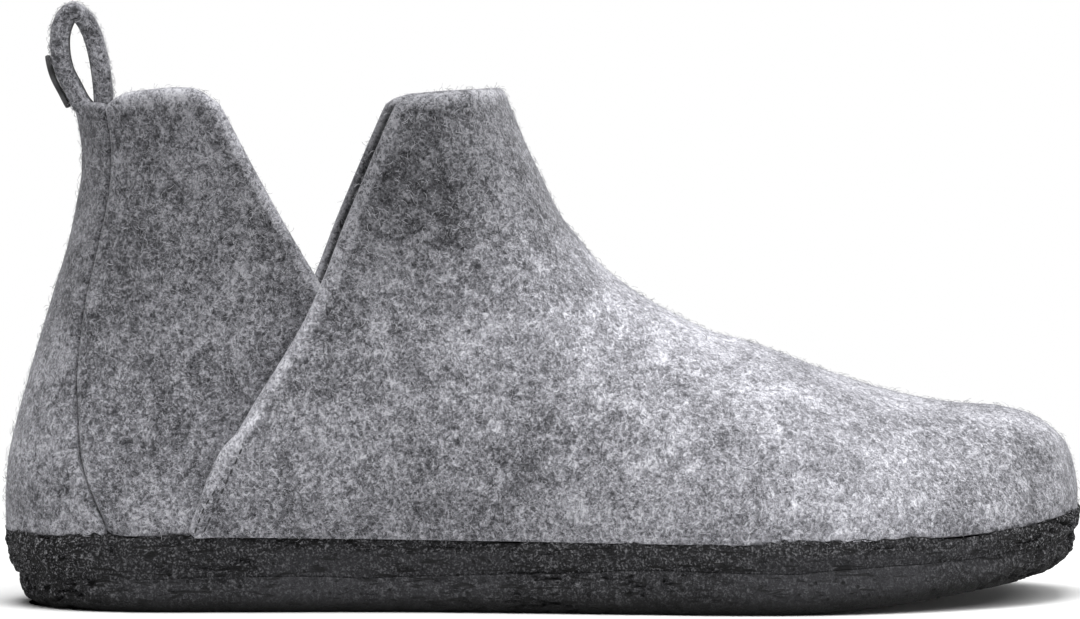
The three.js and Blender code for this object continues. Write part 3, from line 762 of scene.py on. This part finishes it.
def make_back_strip():
    """The felt strip up the back of the heel, flared towards the sole."""
    shell = Shell()
    a = np.linspace(-1, 1, STRIP_GRID[0])[None, :]
    h = np.linspace(0, 1, STRIP_GRID[1])[:, None]
    top = HEEL_TOP[0][1] * COLLAR_HEIGHT
    z = SOLE_HEIGHT + (top - SOLE_HEIGHT) * h * np.ones_like(a)
    x = back_line(z) + (strip_edge(z) - back_line(z)) * (1 - np.cos(a * math.pi / 2))
    surface = on_last(x, z, np.sign(a) * np.ones_like(z))
    centre = STRIP_GRID[0] // 2
    surface[:, centre, 1] = middle(x[:, centre])
    shell.panel(
        surface,
        [-1, 0, 0],
        0.0,
        FELT,
        rounding=(0.3, 0.5, 1.3, 1.3),
        relief=felt_relief(surface, STRIP_SEED),
        painted_shading=felt_painted_shading(x, z),
    )
    return shell.object("back_strip_felt")


# The sole


def sole_outline(count):
    """The sole's outline at its top, in evenly spaced points."""
    ring = plan_ring(count, sole_top)
    for _ in range(2):
        closed = np.concatenate([ring, ring[:1]])
        length = lengths_along(closed)
        ring = points_at(closed, length, np.linspace(0, length[-1], 2 * count + 1)[:-1])
    return ring


def outline_normals(ring):
    """Level normals of an outline, pointing out."""
    along = unit(np.roll(ring, -1, 0) - np.roll(ring, 1, 0))
    return np.stack([along[:, 1], -along[:, 0]], -1)


def at_ends(x):
    """1 at the heel's back and the toe's tip, 0 over most of the length."""
    return np.abs(2 * np.clip(x / LENGTH, 0, 1) - 1) ** 8


def tearing(points, seed):
    """How torn the side is, from smooth to rough: in patches, more at both ends and along the top."""
    patches = 0.35 + 0.65 * step(-0.4, 0.5, lumps(points, 26.0, seed + 7, 2))
    along_top = 0.9 * step(-4.5, -1.5, points[..., 2] - sole_top(points[..., 0]))
    return np.maximum(np.maximum(patches, along_top), 1.9 * np.minimum(2.5 * at_ends(points[..., 0]), 1))


def crumb(points, around, seed):
    """How far the torn side stands in or out: grains, pits and long level cracks between crumbs."""
    grain = lumps(points, 1.9, seed, 2) * 0.6
    swell = lumps(points, 8.0, seed + 1, 2) * 0.4
    level = np.stack([around / 9.0, points[..., 2] / 1.5, 0 * around], -1)
    crack = np.exp(-((lumps(level, 1.0, seed + 2, 2) / 0.08) ** 2))
    crack *= step(0.0, 0.3, lumps(level * [0.5, 0.35, 1], 1.0, seed + 3))
    pits = step(0.5, 0.75, lumps(points, 2.8, seed + 4)) * 0.8
    return tearing(points, seed) * (grain + swell - 1.2 * crack - pits)


def wander(around, size, seed, octaves=3):
    """A value from -1 to 1 that wanders along the outline of the sole."""
    return lumps(np.stack([around, 0 * around, 0 * around], -1), size, seed, octaves)


def sole_layer(name, side_rows, bottom, top, lip):
    """A layer of the sole: its torn side between two heights, closed above and below.

    With lip, the side ends in a torn edge that stands up against the felt.
    """
    seed = SOLE_SEED
    ring = sole_outline(SOLE_POINTS)
    normals = outline_normals(ring)
    around = np.linspace(0, 2 * (LENGTH + BALL_WIDTH), len(ring), endpoint=False)
    parts = np.linspace(0, 1, SOLE_RINGS)
    inset_curve = curve_through(side_rows, 1)
    heel_curve = curve_through(side_rows, 2)
    toe_curve = curve_through(side_rows, 3)
    at_heel = ring[:, 0] < LENGTH / 2
    seam = wander(around, 22.0, SEAM_SEED)
    rings = []
    for part in parts:
        more = np.where(at_heel, heel_curve(part), toe_curve(part)) * at_ends(ring[:, 0])
        inset = SOLE_HEIGHT * (inset_curve(part) + more) - SOLE_PROUD
        place = ring - normals * inset[:, None]
        low, high = bottom(place[:, 0], seam), top(place[:, 0], seam)
        rings.append(np.concatenate([place, (low + (high - low) * part)[:, None]], 1))
    rings = np.stack(rings)
    relief = crumb(rings, np.broadcast_to(around, rings.shape[:2]), seed)
    rings[..., :2] += normals[None] * np.minimum(relief, 0.55)[..., None]
    extra = []
    if lip:
        rise = 0.8 + 1.0 * wander(around, 20.0, seed + 8) + 0.9 * wander(around, 2.2, seed + 9, 2)
        for back, share in enumerate((1.0, 0.8, 0.5, 0.2)):
            rings[-1 - back, :, 2] += rise * share
        place = ring + normals * 0.05
        extra.append(np.concatenate([place, (top(place[:, 0], seam) + rise * 0.9)[:, None]], 1))
        place = ring - normals * 0.6
        extra.append(np.concatenate([place, (top(place[:, 0], seam) - 0.2)[:, None]], 1))
    within = ring - normals * 6.0
    low = np.concatenate([within, bottom(within[:, 0], seam)[:, None]], 1)
    high = np.concatenate([within, (top(within[:, 0], seam) - 0.2 * lip)[:, None]], 1)
    stack = [low, *rings, *extra, high]
    size = len(ring)
    here = np.arange(size)
    following = np.roll(here, -1)
    faces = []
    for k in range(len(stack) - 1):
        low_ring, high_ring = k * size, (k + 1) * size
        sides = [low_ring + here, low_ring + following, high_ring + following, high_ring + here]
        faces.extend(np.stack(sides, -1).tolist())
    # Painted shade on each ring: darkest at the foot of the lower layer, and darker where the lip meets the
    # felt
    painted_shades = [0.1] + [1.0 if lip else 0.1 + 0.9 * float(step(0.12, 0.62, part)) for part in parts]
    painted_shades += [0.5] * (len(stack) - len(painted_shades))
    painted_shading = np.repeat(painted_shades, size)
    torn = tearing(np.concatenate(stack), seed)
    last = (len(stack) - 1) * size
    for n in range(size // 2):
        corners = [n, n + 1, (size - n - 1) % size, (size - n) % size]
        faces.append(list(dict.fromkeys(corners[::-1])))
        faces.append([last + v for v in dict.fromkeys(corners)])
    faces = [face for face in faces if len(face) > 2]
    return mesh_object(name, np.concatenate(stack), faces, {"painted_shading": painted_shading, "torn": torn})


def make_outsole():
    def top(x, seam):
        return layer_line(x) + seam - 0.02

    return sole_layer("outsole_rubber", OUTSOLE_SIDE, lambda x, seam: underside(x), top, lip=False)


def make_midsole():
    def bottom(x, seam):
        return layer_line(x) + seam + 0.02

    return sole_layer("midsole_rubber", MIDSOLE_SIDE, bottom, lambda x, seam: sole_top(x), lip=True)


def make_insole():
    """The footbed: dished under the heel and raised under the arch, as one padded felt slab."""
    count, columns = INSOLE_GRID
    ring = plan_ring(count, lambda x: SOLE_HEIGHT + INSOLE_THICKNESS + 0 * x)
    pressed = FELT - LAP_RISE + CLEARANCE
    lap = step(30, 50, ring[:, 0]) * (1 - step(115, 140, ring[:, 0]))
    ring = ring - outline_normals(ring) * (FELT + 2 * CLEARANCE + pressed * lap)[:, None]
    left = ring[: count + 1][2:-2]
    right = np.concatenate([ring[:1], ring[-1 : count - 1 : -1]])[2:-2]
    t = np.linspace(0, 1, columns)[None, :, None]
    plan = left[:, None, :] + (right - left)[:, None, :] * t
    share = plan[..., 0] / LENGTH
    cup = HEEL_CUP * (2 * t[..., 0] - 1) ** 2 * (1 - step(0.15, 0.4, share))
    arch = ARCH_RISE * t[..., 0] ** 3 * step(0.25, 0.42, share) * (1 - step(0.48, 0.64, share))
    z = sole_top(plan[..., 0]) + CLEARANCE + INSOLE_THICKNESS + cup + arch
    surface = np.concatenate([plan, z[..., None]], -1)
    shell = Shell()
    relief = felt_relief(surface, INSOLE_SEED, 0.08, 0.15)
    rounding = (1.2, 1.2, 1.2, 1.2)
    shell.panel(surface, [0, 0, 1], 0.0, INSOLE_THICKNESS - CLEARANCE, rounding, relief=relief)
    return shell.object("insole_felt")


# The pull loop and its tag


def loop_middle():
    """LOOP_LINE in the side view."""
    collar = HEEL_TOP[0][1] * COLLAR_HEIGHT
    wall = back_line(collar) + FELT
    return [(wall - back * LOOP_REACH, collar + CLEARANCE + up * LOOP_HEIGHT) for back, up in LOOP_LINE]


def loop_band(name, start, end, centre, thickness, width, count, seed=None):
    """A strip that follows the loop's middle line at a distance, with rounded edges."""
    line = even_line(loop_middle(), 240)
    line = points_at(line, np.arange(len(line)), np.linspace(start, end, count) * (len(line) - 1))
    along = unit(np.gradient(line, axis=0))
    out = np.stack([-along[:, 1], along[:, 0]], -1)
    line = line + out * (centre + thickness / 2)
    y = np.linspace(-width / 2, width / 2, LOOP_COLUMNS)
    surface = np.stack(np.broadcast_arrays(line[:, :1], y[None], line[:, 1:]), -1)
    outward = np.stack([out[:, 0], 0 * out[:, 0], out[:, 1]], -1)[:, None]
    shell = Shell()
    relief = 0.0 if seed is None else felt_relief(surface, seed, 0.2, 0.2)
    edge = min(thickness * 0.4, 1.6)
    # Painted shade: the band is painted at half brightness
    shell.panel(surface, outward, 0.0, thickness, (0.3, 0.3, edge, edge), relief=relief, painted_shading=0.5)
    return shell.object(name)


def make_pull_loop():
    return loop_band("pull_loop_felt", 0.0, 0.97, 0.0, LOOP_FELT, LOOP_WIDTH, 120, seed=LOOP_SEED)


def make_loop_tag():
    away = LOOP_FELT / 2 + CLEARANCE + TAG_THICKNESS / 2
    return loop_band("loop_tag_tape", TAG_FROM, TAG_TO, away, TAG_THICKNESS, TAG_WIDTH, 24)


# Materials


def linear(code):
    """An sRGB hex colour as linear RGBA."""
    values = [int(code[i : i + 2], 16) / 255 for i in (1, 3, 5)]
    return [*[v / 12.92 if v <= 0.04045 else ((v + 0.055) / 1.055) ** 2.4 for v in values], 1.0]


def scale_of(millimetres):
    """Scale of a pattern on Object coordinates, which are in metres, for features of this size."""
    return 1000.0 / millimetres


def feed(node, inputs):
    """Sets inputs of a node, each to a value or to the socket that feeds it."""
    for key, value in inputs.items():
        if isinstance(value, bpy.types.NodeSocket):
            node.id_data.links.new(value, node.inputs[key])
        else:
            node.inputs[key].default_value = value


def add_node(tree, kind, inputs=None, stops=None, **settings):
    """Adds a node: its settings, then its inputs, then the stops of a colour ramp."""
    made = tree.nodes.new(kind)
    for key, value in settings.items():
        setattr(made, key, value)
    feed(made, inputs or {})
    if stops:
        elements = made.color_ramp.elements
        while len(elements) < len(stops):
            elements.new(0.5)
        for element, (place, code) in zip(elements, stops):
            element.position = place
            element.color = linear(code)
    return made


def new_material(name, **shader_inputs):
    """A material with one shader: returns it, add_node on its tree, the shader and Object coordinates."""
    material = bpy.data.materials.new(name)
    material.use_nodes = True
    material.node_tree.nodes.clear()
    add = partial(add_node, material.node_tree)
    shader = add("ShaderNodeBsdfPrincipled", {key.replace("_", " "): v for key, v in shader_inputs.items()})
    add("ShaderNodeOutputMaterial", {"Surface": shader.outputs["BSDF"]})
    return material, add, shader, add("ShaderNodeTexCoord").outputs["Object"]


def stretched(add, value, factor):
    """A value spread about 0.5 by a factor."""
    away = add("ShaderNodeMath", {0: value, 1: 0.5}, operation="SUBTRACT")
    return add("ShaderNodeMath", {0: away.outputs[0], 1: factor, 2: 0.5}, operation="MULTIPLY_ADD").outputs[0]


def with_painted_shading(add, ramp):
    """A ramp's colour times the light and shade painted on the mesh."""
    painted_shading = add("ShaderNodeAttribute", attribute_name="painted_shading")
    inputs = {0: 1.0, 6: ramp.outputs["Color"], 7: painted_shading.outputs["Color"]}
    return add("ShaderNodeMix", inputs, data_type="RGBA", blend_type="MULTIPLY").outputs[2]


def felt_material(name, stops, contrast, highlight_lift):
    """Wool felt, needled and fulled: matted fibres of dark, grey and pale wool, with a fine nap."""
    material, add, shader, place = new_material(
        name, Roughness=1.0, Sheen_Weight=0.25, Sheen_Roughness=0.5, IOR=1.45, Specular_IOR_Level=0.1
    )
    # The marl of the wool: specks of 0.7 mm, wisps of 2.2 mm, clumps of 5 mm and clouds of 17 mm
    value = 0.5
    layers = []
    for millimetres, weight, detail, distortion in (
        (0.7, 0.85, 3.0, 0.6),
        (2.2, 0.8, 5.0, 2.2),
        (5.0, 0.65, 3.0, 1.2),
        (17.0, 0.5, 2.0, 0.3),
    ):
        pattern = {"Scale": scale_of(millimetres), "Detail": detail, "Distortion": distortion}
        layers.append(add("ShaderNodeTexNoise", {"Vector": place, **pattern}))
        amount = contrast * weight
        centred = {0: layers[-1].outputs["Fac"], 1: amount, 2: -0.5 * amount}
        share = add("ShaderNodeMath", centred, operation="MULTIPLY_ADD")
        value = add("ShaderNodeMath", {0: value, 1: share.outputs[0]}, operation="ADD").outputs[0]
    wisps = layers[1].outputs["Color"]
    # Single fibres on the surface, two layers pale and one dark: the lines between bent cells of 2 to 3 mm
    for millimetres, reach, amount in ((3.1, 0.0025, 0.2), (2.1, 0.0018, 0.14), (2.6, 0.003, -0.2)):
        bent = {0: wisps, 1: (reach, reach, reach * 1.4), 2: place}
        bend = add("ShaderNodeVectorMath", bent, operation="MULTIPLY_ADD")
        pattern = {"Vector": bend.outputs[0], "Scale": scale_of(millimetres), "Randomness": 1.0}
        cells = add("ShaderNodeTexVoronoi", pattern, feature="DISTANCE_TO_EDGE")
        line = add(
            "ShaderNodeMapRange",
            {"Value": cells.outputs["Distance"], "From Max": 0.07, "To Min": amount, "To Max": 0.0},
            interpolation_type="SMOOTHSTEP",
        )
        value = add("ShaderNodeMath", {0: value, 1: line.outputs[0]}, operation="ADD").outputs[0]
    # The marl's contrast falls where the felt is painted paler, and rises where it is painted darker as shade
    painted_shading = add("ShaderNodeAttribute", attribute_name="painted_shading")
    marl = add(
        "ShaderNodeMapRange",
        {"Value": painted_shading.outputs["Fac"], "From Min": 0.45, "From Max": 1.3, "To Min": 1.25, "To Max": 0.72},
    )
    shown = stretched(add, value, marl.outputs[0])
    # The cut edges are painted paler, in patches: a painted highlight
    edge_highlight = add("ShaderNodeAttribute", attribute_name="edge_highlight")
    lifted = add("ShaderNodeMath", {0: edge_highlight.outputs["Fac"], 1: highlight_lift, 2: shown}, operation="MULTIPLY_ADD")
    wool = add("ShaderNodeValToRGB", {"Fac": lifted.outputs[0]}, stops=stops)
    bump = add("ShaderNodeBump", {"Height": value, "Strength": 0.5, "Distance": 0.0005})
    feed(shader, {"Base Color": with_painted_shading(add, wool), "Normal": bump.outputs["Normal"]})
    feed(shader, {"Sheen Tint": linear("#d8d8dc")})
    return material


def rubber_material(name, stops, grain, roughness):
    """Rubber bound from crumb: matt charcoal with grains and pale specks, torn level cracks and pits painted
    near black as shade.
    """
    material, add, shader, place = new_material(name, Roughness=roughness, IOR=1.5, Specular_IOR_Level=0.3)
    crumbs = add(
        "ShaderNodeTexNoise",
        {"Vector": place, "Scale": scale_of(grain), "Detail": 5.0, "Roughness": 0.7, "Distortion": 0.5},
    )
    # Cracks in a pattern of 6 mm, flattened so that they run level, and pits 3.6 mm apart: both sink in the
    # bump and are painted dark there, as shade
    flattened = add("ShaderNodeMapping", {"Vector": place, "Scale": (1.0, 1.0, 4.5)})
    cracks = add(
        "ShaderNodeTexNoise",
        {"Vector": flattened.outputs[0], "Scale": scale_of(6.0), "Detail": 4.0, "Distortion": 0.8},
    )
    cells = add("ShaderNodeTexVoronoi", {"Vector": place, "Scale": scale_of(3.6), "Randomness": 1.0})
    value = crumbs.outputs["Fac"]
    for holes, start, end, depth in (
        (cracks.outputs["Fac"], 0.33, 0.42, -0.55),
        (cells.outputs["Distance"], 0.08, 0.16, -0.7),
    ):
        sunk_and_shaded = add(
            "ShaderNodeMapRange",
            {"Value": holes, "From Min": start, "From Max": end, "To Min": depth, "To Max": 0.0},
            interpolation_type="SMOOTHSTEP",
        )
        value = add("ShaderNodeMath", {0: value, 1: sunk_and_shaded.outputs[0]}, operation="ADD").outputs[0]
    # Fine grit between the crumbs, 0.5 mm
    grit = add("ShaderNodeTexNoise", {"Vector": place, "Scale": scale_of(0.5), "Detail": 1.0})
    gritty = add("ShaderNodeMath", {0: grit.outputs["Fac"], 1: 0.6, 2: -0.32}, operation="MULTIPLY_ADD")
    value = add("ShaderNodeMath", {0: value, 1: gritty.outputs[0]}, operation="ADD").outputs[0]
    # Smooth patches show the grain less than torn ones
    torn = add("ShaderNodeAttribute", attribute_name="torn")
    value = stretched(add, value, torn.outputs["Fac"])
    colour = add("ShaderNodeValToRGB", {"Fac": value}, stops=stops)
    bump = add("ShaderNodeBump", {"Height": value, "Strength": 1.0, "Distance": 0.002})
    feed(shader, {"Base Color": with_painted_shading(add, colour), "Normal": bump.outputs["Normal"]})
    return material


def tape_material():
    """Woven polyester tape, black and blank: a rib across it, drawn as coarse as 5 mm so that it shows."""
    material, add, shader, place = new_material("polyester_tape_woven", Roughness=0.7, Sheen_Weight=0.15)
    # At scale 1 a wave's bands are 2 pi / 20 of a metre apart
    bands = {"Vector": place, "Scale": scale_of(5.027) * 2 * math.pi / 20, "Distortion": 0.4}
    rib = add("ShaderNodeTexWave", bands, bands_direction="Z").outputs["Fac"]
    colour = add("ShaderNodeValToRGB", {"Fac": rib}, stops=[(0.0, "#18181a"), (1.0, "#38383a")])
    bump = add("ShaderNodeBump", {"Height": rib, "Strength": 0.4, "Distance": 0.0002})
    feed(shader, {"Base Color": colour.outputs["Color"], "Normal": bump.outputs["Normal"]})
    return material


def yarn_material(name, pattern, stops, **shader_inputs):
    """Thread or fibre: one soft change of shade along it."""
    material, add, shader, place = new_material(name, **shader_inputs)
    noise = add("ShaderNodeTexNoise", {"Vector": place, **pattern})
    colour = add("ShaderNodeValToRGB", {"Fac": noise.outputs["Fac"]}, stops=stops)
    feed(shader, {"Base Color": colour.outputs["Color"]})
    return material


FELT_FINISH = felt_material(
    "wool_felt_marled",
    [(0.05, "#303033"), (0.32, "#5b5b5f"), (0.5, "#7e7e83"), (0.68, "#a2a2a8"), (0.95, "#cfcfd5")],
    contrast=1.0,
    highlight_lift=0.22,
)
BED_FINISH = felt_material(
    "wool_felt_footbed",
    [(0.1, "#57575b"), (0.5, "#7c7c81"), (0.9, "#a2a2a7")],
    contrast=0.7,
    highlight_lift=0.0,
)
OUTSOLE_FINISH = rubber_material(
    "crumb_rubber_moulded",
    [(0.0, "#060608"), (0.38, "#1a1a1c"), (0.5, "#2d2d30"), (0.72, "#707073"), (1.0, "#b8b8bc")],
    grain=1.3,
    roughness=0.8,
)
MIDSOLE_FINISH = rubber_material(
    "crumb_rubber_torn",
    [(0.0, "#050506"), (0.4, "#161618"), (0.5, "#29292c"), (0.72, "#7c7c7f"), (1.0, "#c4c4c8")],
    grain=1.0,
    roughness=0.85,
)
TAPE_FINISH = tape_material()
# Polyester sewing thread, twisted: dark grey, a little glossy
THREAD_FINISH = yarn_material(
    "polyester_thread_twisted", {"Scale": scale_of(0.4)}, [(0.3, "#141416"), (0.7, "#303034")], Roughness=0.6
)
# Loose wool fibres on the felt: grey to pale, each about one shade
FIBRE_FINISH = yarn_material(
    "wool_fibre_loose",
    {"Scale": scale_of(2.5), "Detail": 1.0},
    [(0.32, "#3c3c40"), (0.45, "#85858a"), (0.62, "#b0b0b5")],
    Roughness=0.8,
    Sheen_Weight=0.2,
)


# Geometry Nodes: loose fibres and stitches


def node_tree(name, sizes):
    """A Geometry Nodes tree with a geometry in and out, and a named number for each size."""
    tree = bpy.data.node_groups.new(name, "GeometryNodeTree")
    tree.interface.new_socket("Geometry", in_out="INPUT", socket_type="NodeSocketGeometry")
    for size, value in sizes.items():
        tree.interface.new_socket(size, in_out="INPUT", socket_type="NodeSocketFloat").default_value = value
    tree.interface.new_socket("Geometry", in_out="OUTPUT", socket_type="NodeSocketGeometry")
    add = partial(add_node, tree)
    return tree, add, add("NodeGroupInput").outputs


def finish_tree(add, instances, finish):
    """Ends a tree: the instances are made real and given their material."""
    real = add("GeometryNodeRealizeInstances", {0: instances})
    dressed = add("GeometryNodeSetMaterial", {"Geometry": real.outputs[0], "Material": finish})
    add("NodeGroupOutput", {"Geometry": dressed.outputs[0]})


def baked(name, source, tree, sizes):
    """Runs a tree on an object and returns the result as a plain mesh."""
    modifier = source.modifiers.new("nodes", "NODES")
    modifier.node_group = tree
    for item in tree.interface.items_tree:
        if item.in_out == "INPUT" and item.name in sizes:
            modifier[item.identifier] = sizes[item.name]
    graph = bpy.context.evaluated_depsgraph_get()
    mesh = bpy.data.meshes.new_from_object(source.evaluated_get(graph))
    mesh.name = name
    source.modifiers.remove(modifier)
    return new_object(name, mesh)


def fibre_tree(seed):
    """Curved fibres scattered over the outer faces, lying nearly flat."""
    tree, add, group = node_tree(f"loose_fibres_{seed}", {"Density": 2e5, "Length": 0.003, "Radius": 5e-5})
    outer = add("GeometryNodeInputNamedAttribute", {"Name": "outer"}, data_type="FLOAT")
    chosen = add("FunctionNodeCompare", {0: outer.outputs[0], 1: 0.6}, operation="GREATER_THAN")
    places = {
        "Mesh": group["Geometry"],
        "Selection": chosen.outputs[0],
        "Density": group["Density"],
        "Seed": seed,
    }
    spread = add("GeometryNodeDistributePointsOnFaces", places)
    # One fibre, drawn about as long as 1 and scaled to its length
    bow = {"Resolution": 3, "Start": (0, 0, -0.06), "Middle": (0.45, 0.22, 0.26), "End": (0.95, -0.12, 0.16)}
    arc = add("GeometryNodeCurveQuadraticBezier", bow)
    thickness = add("ShaderNodeMath", {0: group["Radius"], 1: group["Length"]}, operation="DIVIDE")
    section = add("GeometryNodeCurvePrimitiveCircle", {"Resolution": 3, "Radius": thickness.outputs[0]})
    tube = {"Curve": arc.outputs[0], "Profile Curve": section.outputs[0], "Fill Caps": True}
    hair = add("GeometryNodeCurveToMesh", tube)
    # Turned any way about the normal, and tilted from it by 0.35 radians at most
    angles = {0: (-0.35, -0.35, 0.0), 1: (0.35, 0.35, 2 * math.pi), "Seed": seed + 1}
    spin = add("FunctionNodeRandomValue", angles, data_type="FLOAT_VECTOR")
    turned = {"Rotation": spread.outputs["Rotation"], "Rotate By": spin.outputs[0]}
    turn = add("FunctionNodeRotateRotation", turned, rotation_space="LOCAL")
    share = add("FunctionNodeRandomValue", {2: 0.35, 3: 1.0, "Seed": seed + 2}, data_type="FLOAT")
    scale = add("ShaderNodeMath", {0: share.outputs[1], 1: group["Length"]}, operation="MULTIPLY")
    copies = {
        "Points": spread.outputs["Points"],
        "Instance": hair.outputs[0],
        "Rotation": turn.outputs[0],
        "Scale": scale.outputs[0],
    }
    placed = add("GeometryNodeInstanceOnPoints", copies)
    finish_tree(add, placed.outputs[0], FIBRE_FINISH)
    return tree


def stitch_tree():
    """Short thread stitches laid end to end along a line, with gaps."""
    sizes = {"Pitch": STITCH_PITCH / 1000, "Length": STITCH_LENGTH / 1000, "Thread": THREAD / 1000}
    tree, add, group = node_tree("stitches", sizes)
    line = add("GeometryNodeMeshToCurve", {0: group["Geometry"]})
    spaced = {"Curve": line.outputs[0], "Length": group["Pitch"]}
    even = add("GeometryNodeResampleCurve", spaced, mode="LENGTH")
    radius = add("ShaderNodeMath", {0: group["Thread"], 1: 0.5}, operation="MULTIPLY")
    dash = add("GeometryNodeMeshUVSphere", {"Segments": 8, "Rings": 6, "Radius": radius.outputs[0]})
    stretch = add("ShaderNodeMath", {0: group["Length"], 1: group["Thread"]}, operation="DIVIDE")
    shape = add("ShaderNodeCombineXYZ", {"X": 1.0, "Y": 1.0, "Z": stretch.outputs[0]})
    tangent = add("GeometryNodeInputTangent")
    aim = add("FunctionNodeAlignRotationToVector", {"Vector": tangent.outputs[0]}, axis="Z")
    copies = {
        "Points": even.outputs[0],
        "Instance": dash.outputs[0],
        "Rotation": aim.outputs[0],
        "Scale": shape.outputs[0],
    }
    placed = add("GeometryNodeInstanceOnPoints", copies)
    finish_tree(add, placed.outputs[0], THREAD_FINISH)
    return tree


def make_stitches():
    """Both rows at the lower end of each rear edge of the vamp."""
    points, edges = [], []
    for side in (-1, 1):
        for row in STITCH_ROWS:
            line = even_line(row, 24)
            on = on_last(line[:, 0], line[:, 1], side)
            on[:, 1] += side * (vamp_offset(line[:, 0], line[:, 1]) + STITCH_STAND)
            edges.extend([(len(points) + k, len(points) + k + 1) for k in range(len(line) - 1)])
            points.extend(on)
    source = mesh_object("stitch_lines", points, [], edges=edges)
    piece = baked("vamp_stitches", source, stitch_tree(), {})
    bpy.data.objects.remove(source)
    return piece


# Pieces

upper = make_upper()
strip = make_back_strip()
pull_loop = make_pull_loop()
for piece, finish, slot, node in (
    (upper, FELT_FINISH, "felt", "upper"),
    (strip, FELT_FINISH, "felt", "back_strip"),
    (make_insole(), BED_FINISH, "insole", "insole"),
    (make_midsole(), MIDSOLE_FINISH, "midsole", "midsole"),
    (make_outsole(), OUTSOLE_FINISH, "outsole", "outsole"),
    (pull_loop, FELT_FINISH, "felt", "pull_loop"),
    (make_loop_tag(), TAPE_FINISH, "tag", "loop_tag"),
):
    piece.data.materials.append(finish)
    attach(piece, "root")
    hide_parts(node)

stitches = make_stitches()
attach(stitches, "root")

# Loose fibres: the piece that they stand on, seed, fibres to a square metre, longest fibre in metres
FIBRES = [
    ("upper_fibres_short", upper, 5, 115e3, 0.002),
    ("upper_fibres_middle", upper, 15, 115e3, 0.0025),
    ("upper_fibres_long", upper, 25, 115e3, 0.003),
    ("strip_fibres", strip, 6, 300e3, 0.0028),
    ("loop_fibres", pull_loop, 7, 500e3, 0.0024),
]
for name, source, seed, density, length in FIBRES:
    fibres = baked(name, source, fibre_tree(seed), {"Density": density, "Length": length})
    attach(fibres, "root")


# Stage, lights and camera

FLOOR_RADIUS = 300.0
VIEW_MIDDLE = 104.0


def make_stage():
    """A round pale floor, small enough to be evenly lit. The white world shows past it."""
    turn = np.linspace(0, 2 * math.pi, 96, endpoint=False)
    ring = np.stack([VIEW_MIDDLE + FLOOR_RADIUS * np.cos(turn), FLOOR_RADIUS * np.sin(turn), 0 * turn], -1)
    mesh = bpy.data.meshes.new("floor")
    mesh.from_pydata((ring * 0.001).tolist(), [], [list(range(len(turn)))])
    floor = new_object("floor", mesh)
    mesh.materials.append(new_material("card_pale", Roughness=0.9, Base_Color=(0.72, 0.72, 0.72, 1))[0])


def add_light(name, place, target, size, power):
    """A square soft light: its size in metres and its power in watts."""
    data = bpy.data.lights.new(name, "AREA")
    data.shape = "SQUARE"
    data.size = size
    data.energy = power
    light = new_object(name, data)
    light.location = place
    light.rotation_euler = (Vector(target) - Vector(place)).to_track_quat("-Z", "Y").to_euler()


def add_camera():
    """The photo's view: 1.4 m off the middle of the shoe, level with the collar, 4 degrees to the heel."""
    distance = 1400.0
    height = 140.0
    azimuth = math.radians(-4.0)
    pixels_per_mm = 3.754
    frame_width, frame_height = 1080.0, 619.0
    level_row = 74.0
    target_height = height - (frame_height / 2 - level_row) / pixels_per_mm
    data = bpy.data.cameras.new("camera")
    data.sensor_width = 36.0
    data.lens = data.sensor_width * pixels_per_mm * distance / frame_width
    camera = new_object("camera", data)
    beside = distance * math.sin(azimuth)
    place = Vector((VIEW_MIDDLE + beside, -distance * math.cos(azimuth), height)) * 0.001
    target = Vector((VIEW_MIDDLE, 0.0, target_height)) * 0.001
    camera.location = place
    camera.rotation_euler = (target - place).to_track_quat("-Z", "Y").to_euler()
    bpy.context.scene.camera = camera


def make_world():
    """White up to about 12 degrees above the horizon, dim from 16 on: a white backdrop that lights little."""
    world = bpy.data.worlds.new("studio")
    world.use_nodes = True
    add = partial(add_node, world.node_tree)
    direction = add("ShaderNodeTexCoord").outputs["Generated"]
    height = add("ShaderNodeSeparateXYZ", {"Vector": direction})
    stops = [(0.2, "#ffffff"), (0.28, "#6c6c6c")]
    band = add("ShaderNodeValToRGB", {"Fac": height.outputs["Z"]}, stops=stops)
    feed(world.node_tree.nodes["Background"], {"Color": band.outputs["Color"]})
    bpy.context.scene.world = world


make_stage()
add_light("top_softbox", (0.08, -0.2, 1.5), (0.12, 0.0, 0.0), 1.2, 43.5)
add_light("toe_softbox", (0.9, -0.5, 0.9), (0.15, 0.0, 0.05), 0.8, 8.0)
add_camera()
make_world()
bpy.context.scene.view_settings.view_transform = "Standard"
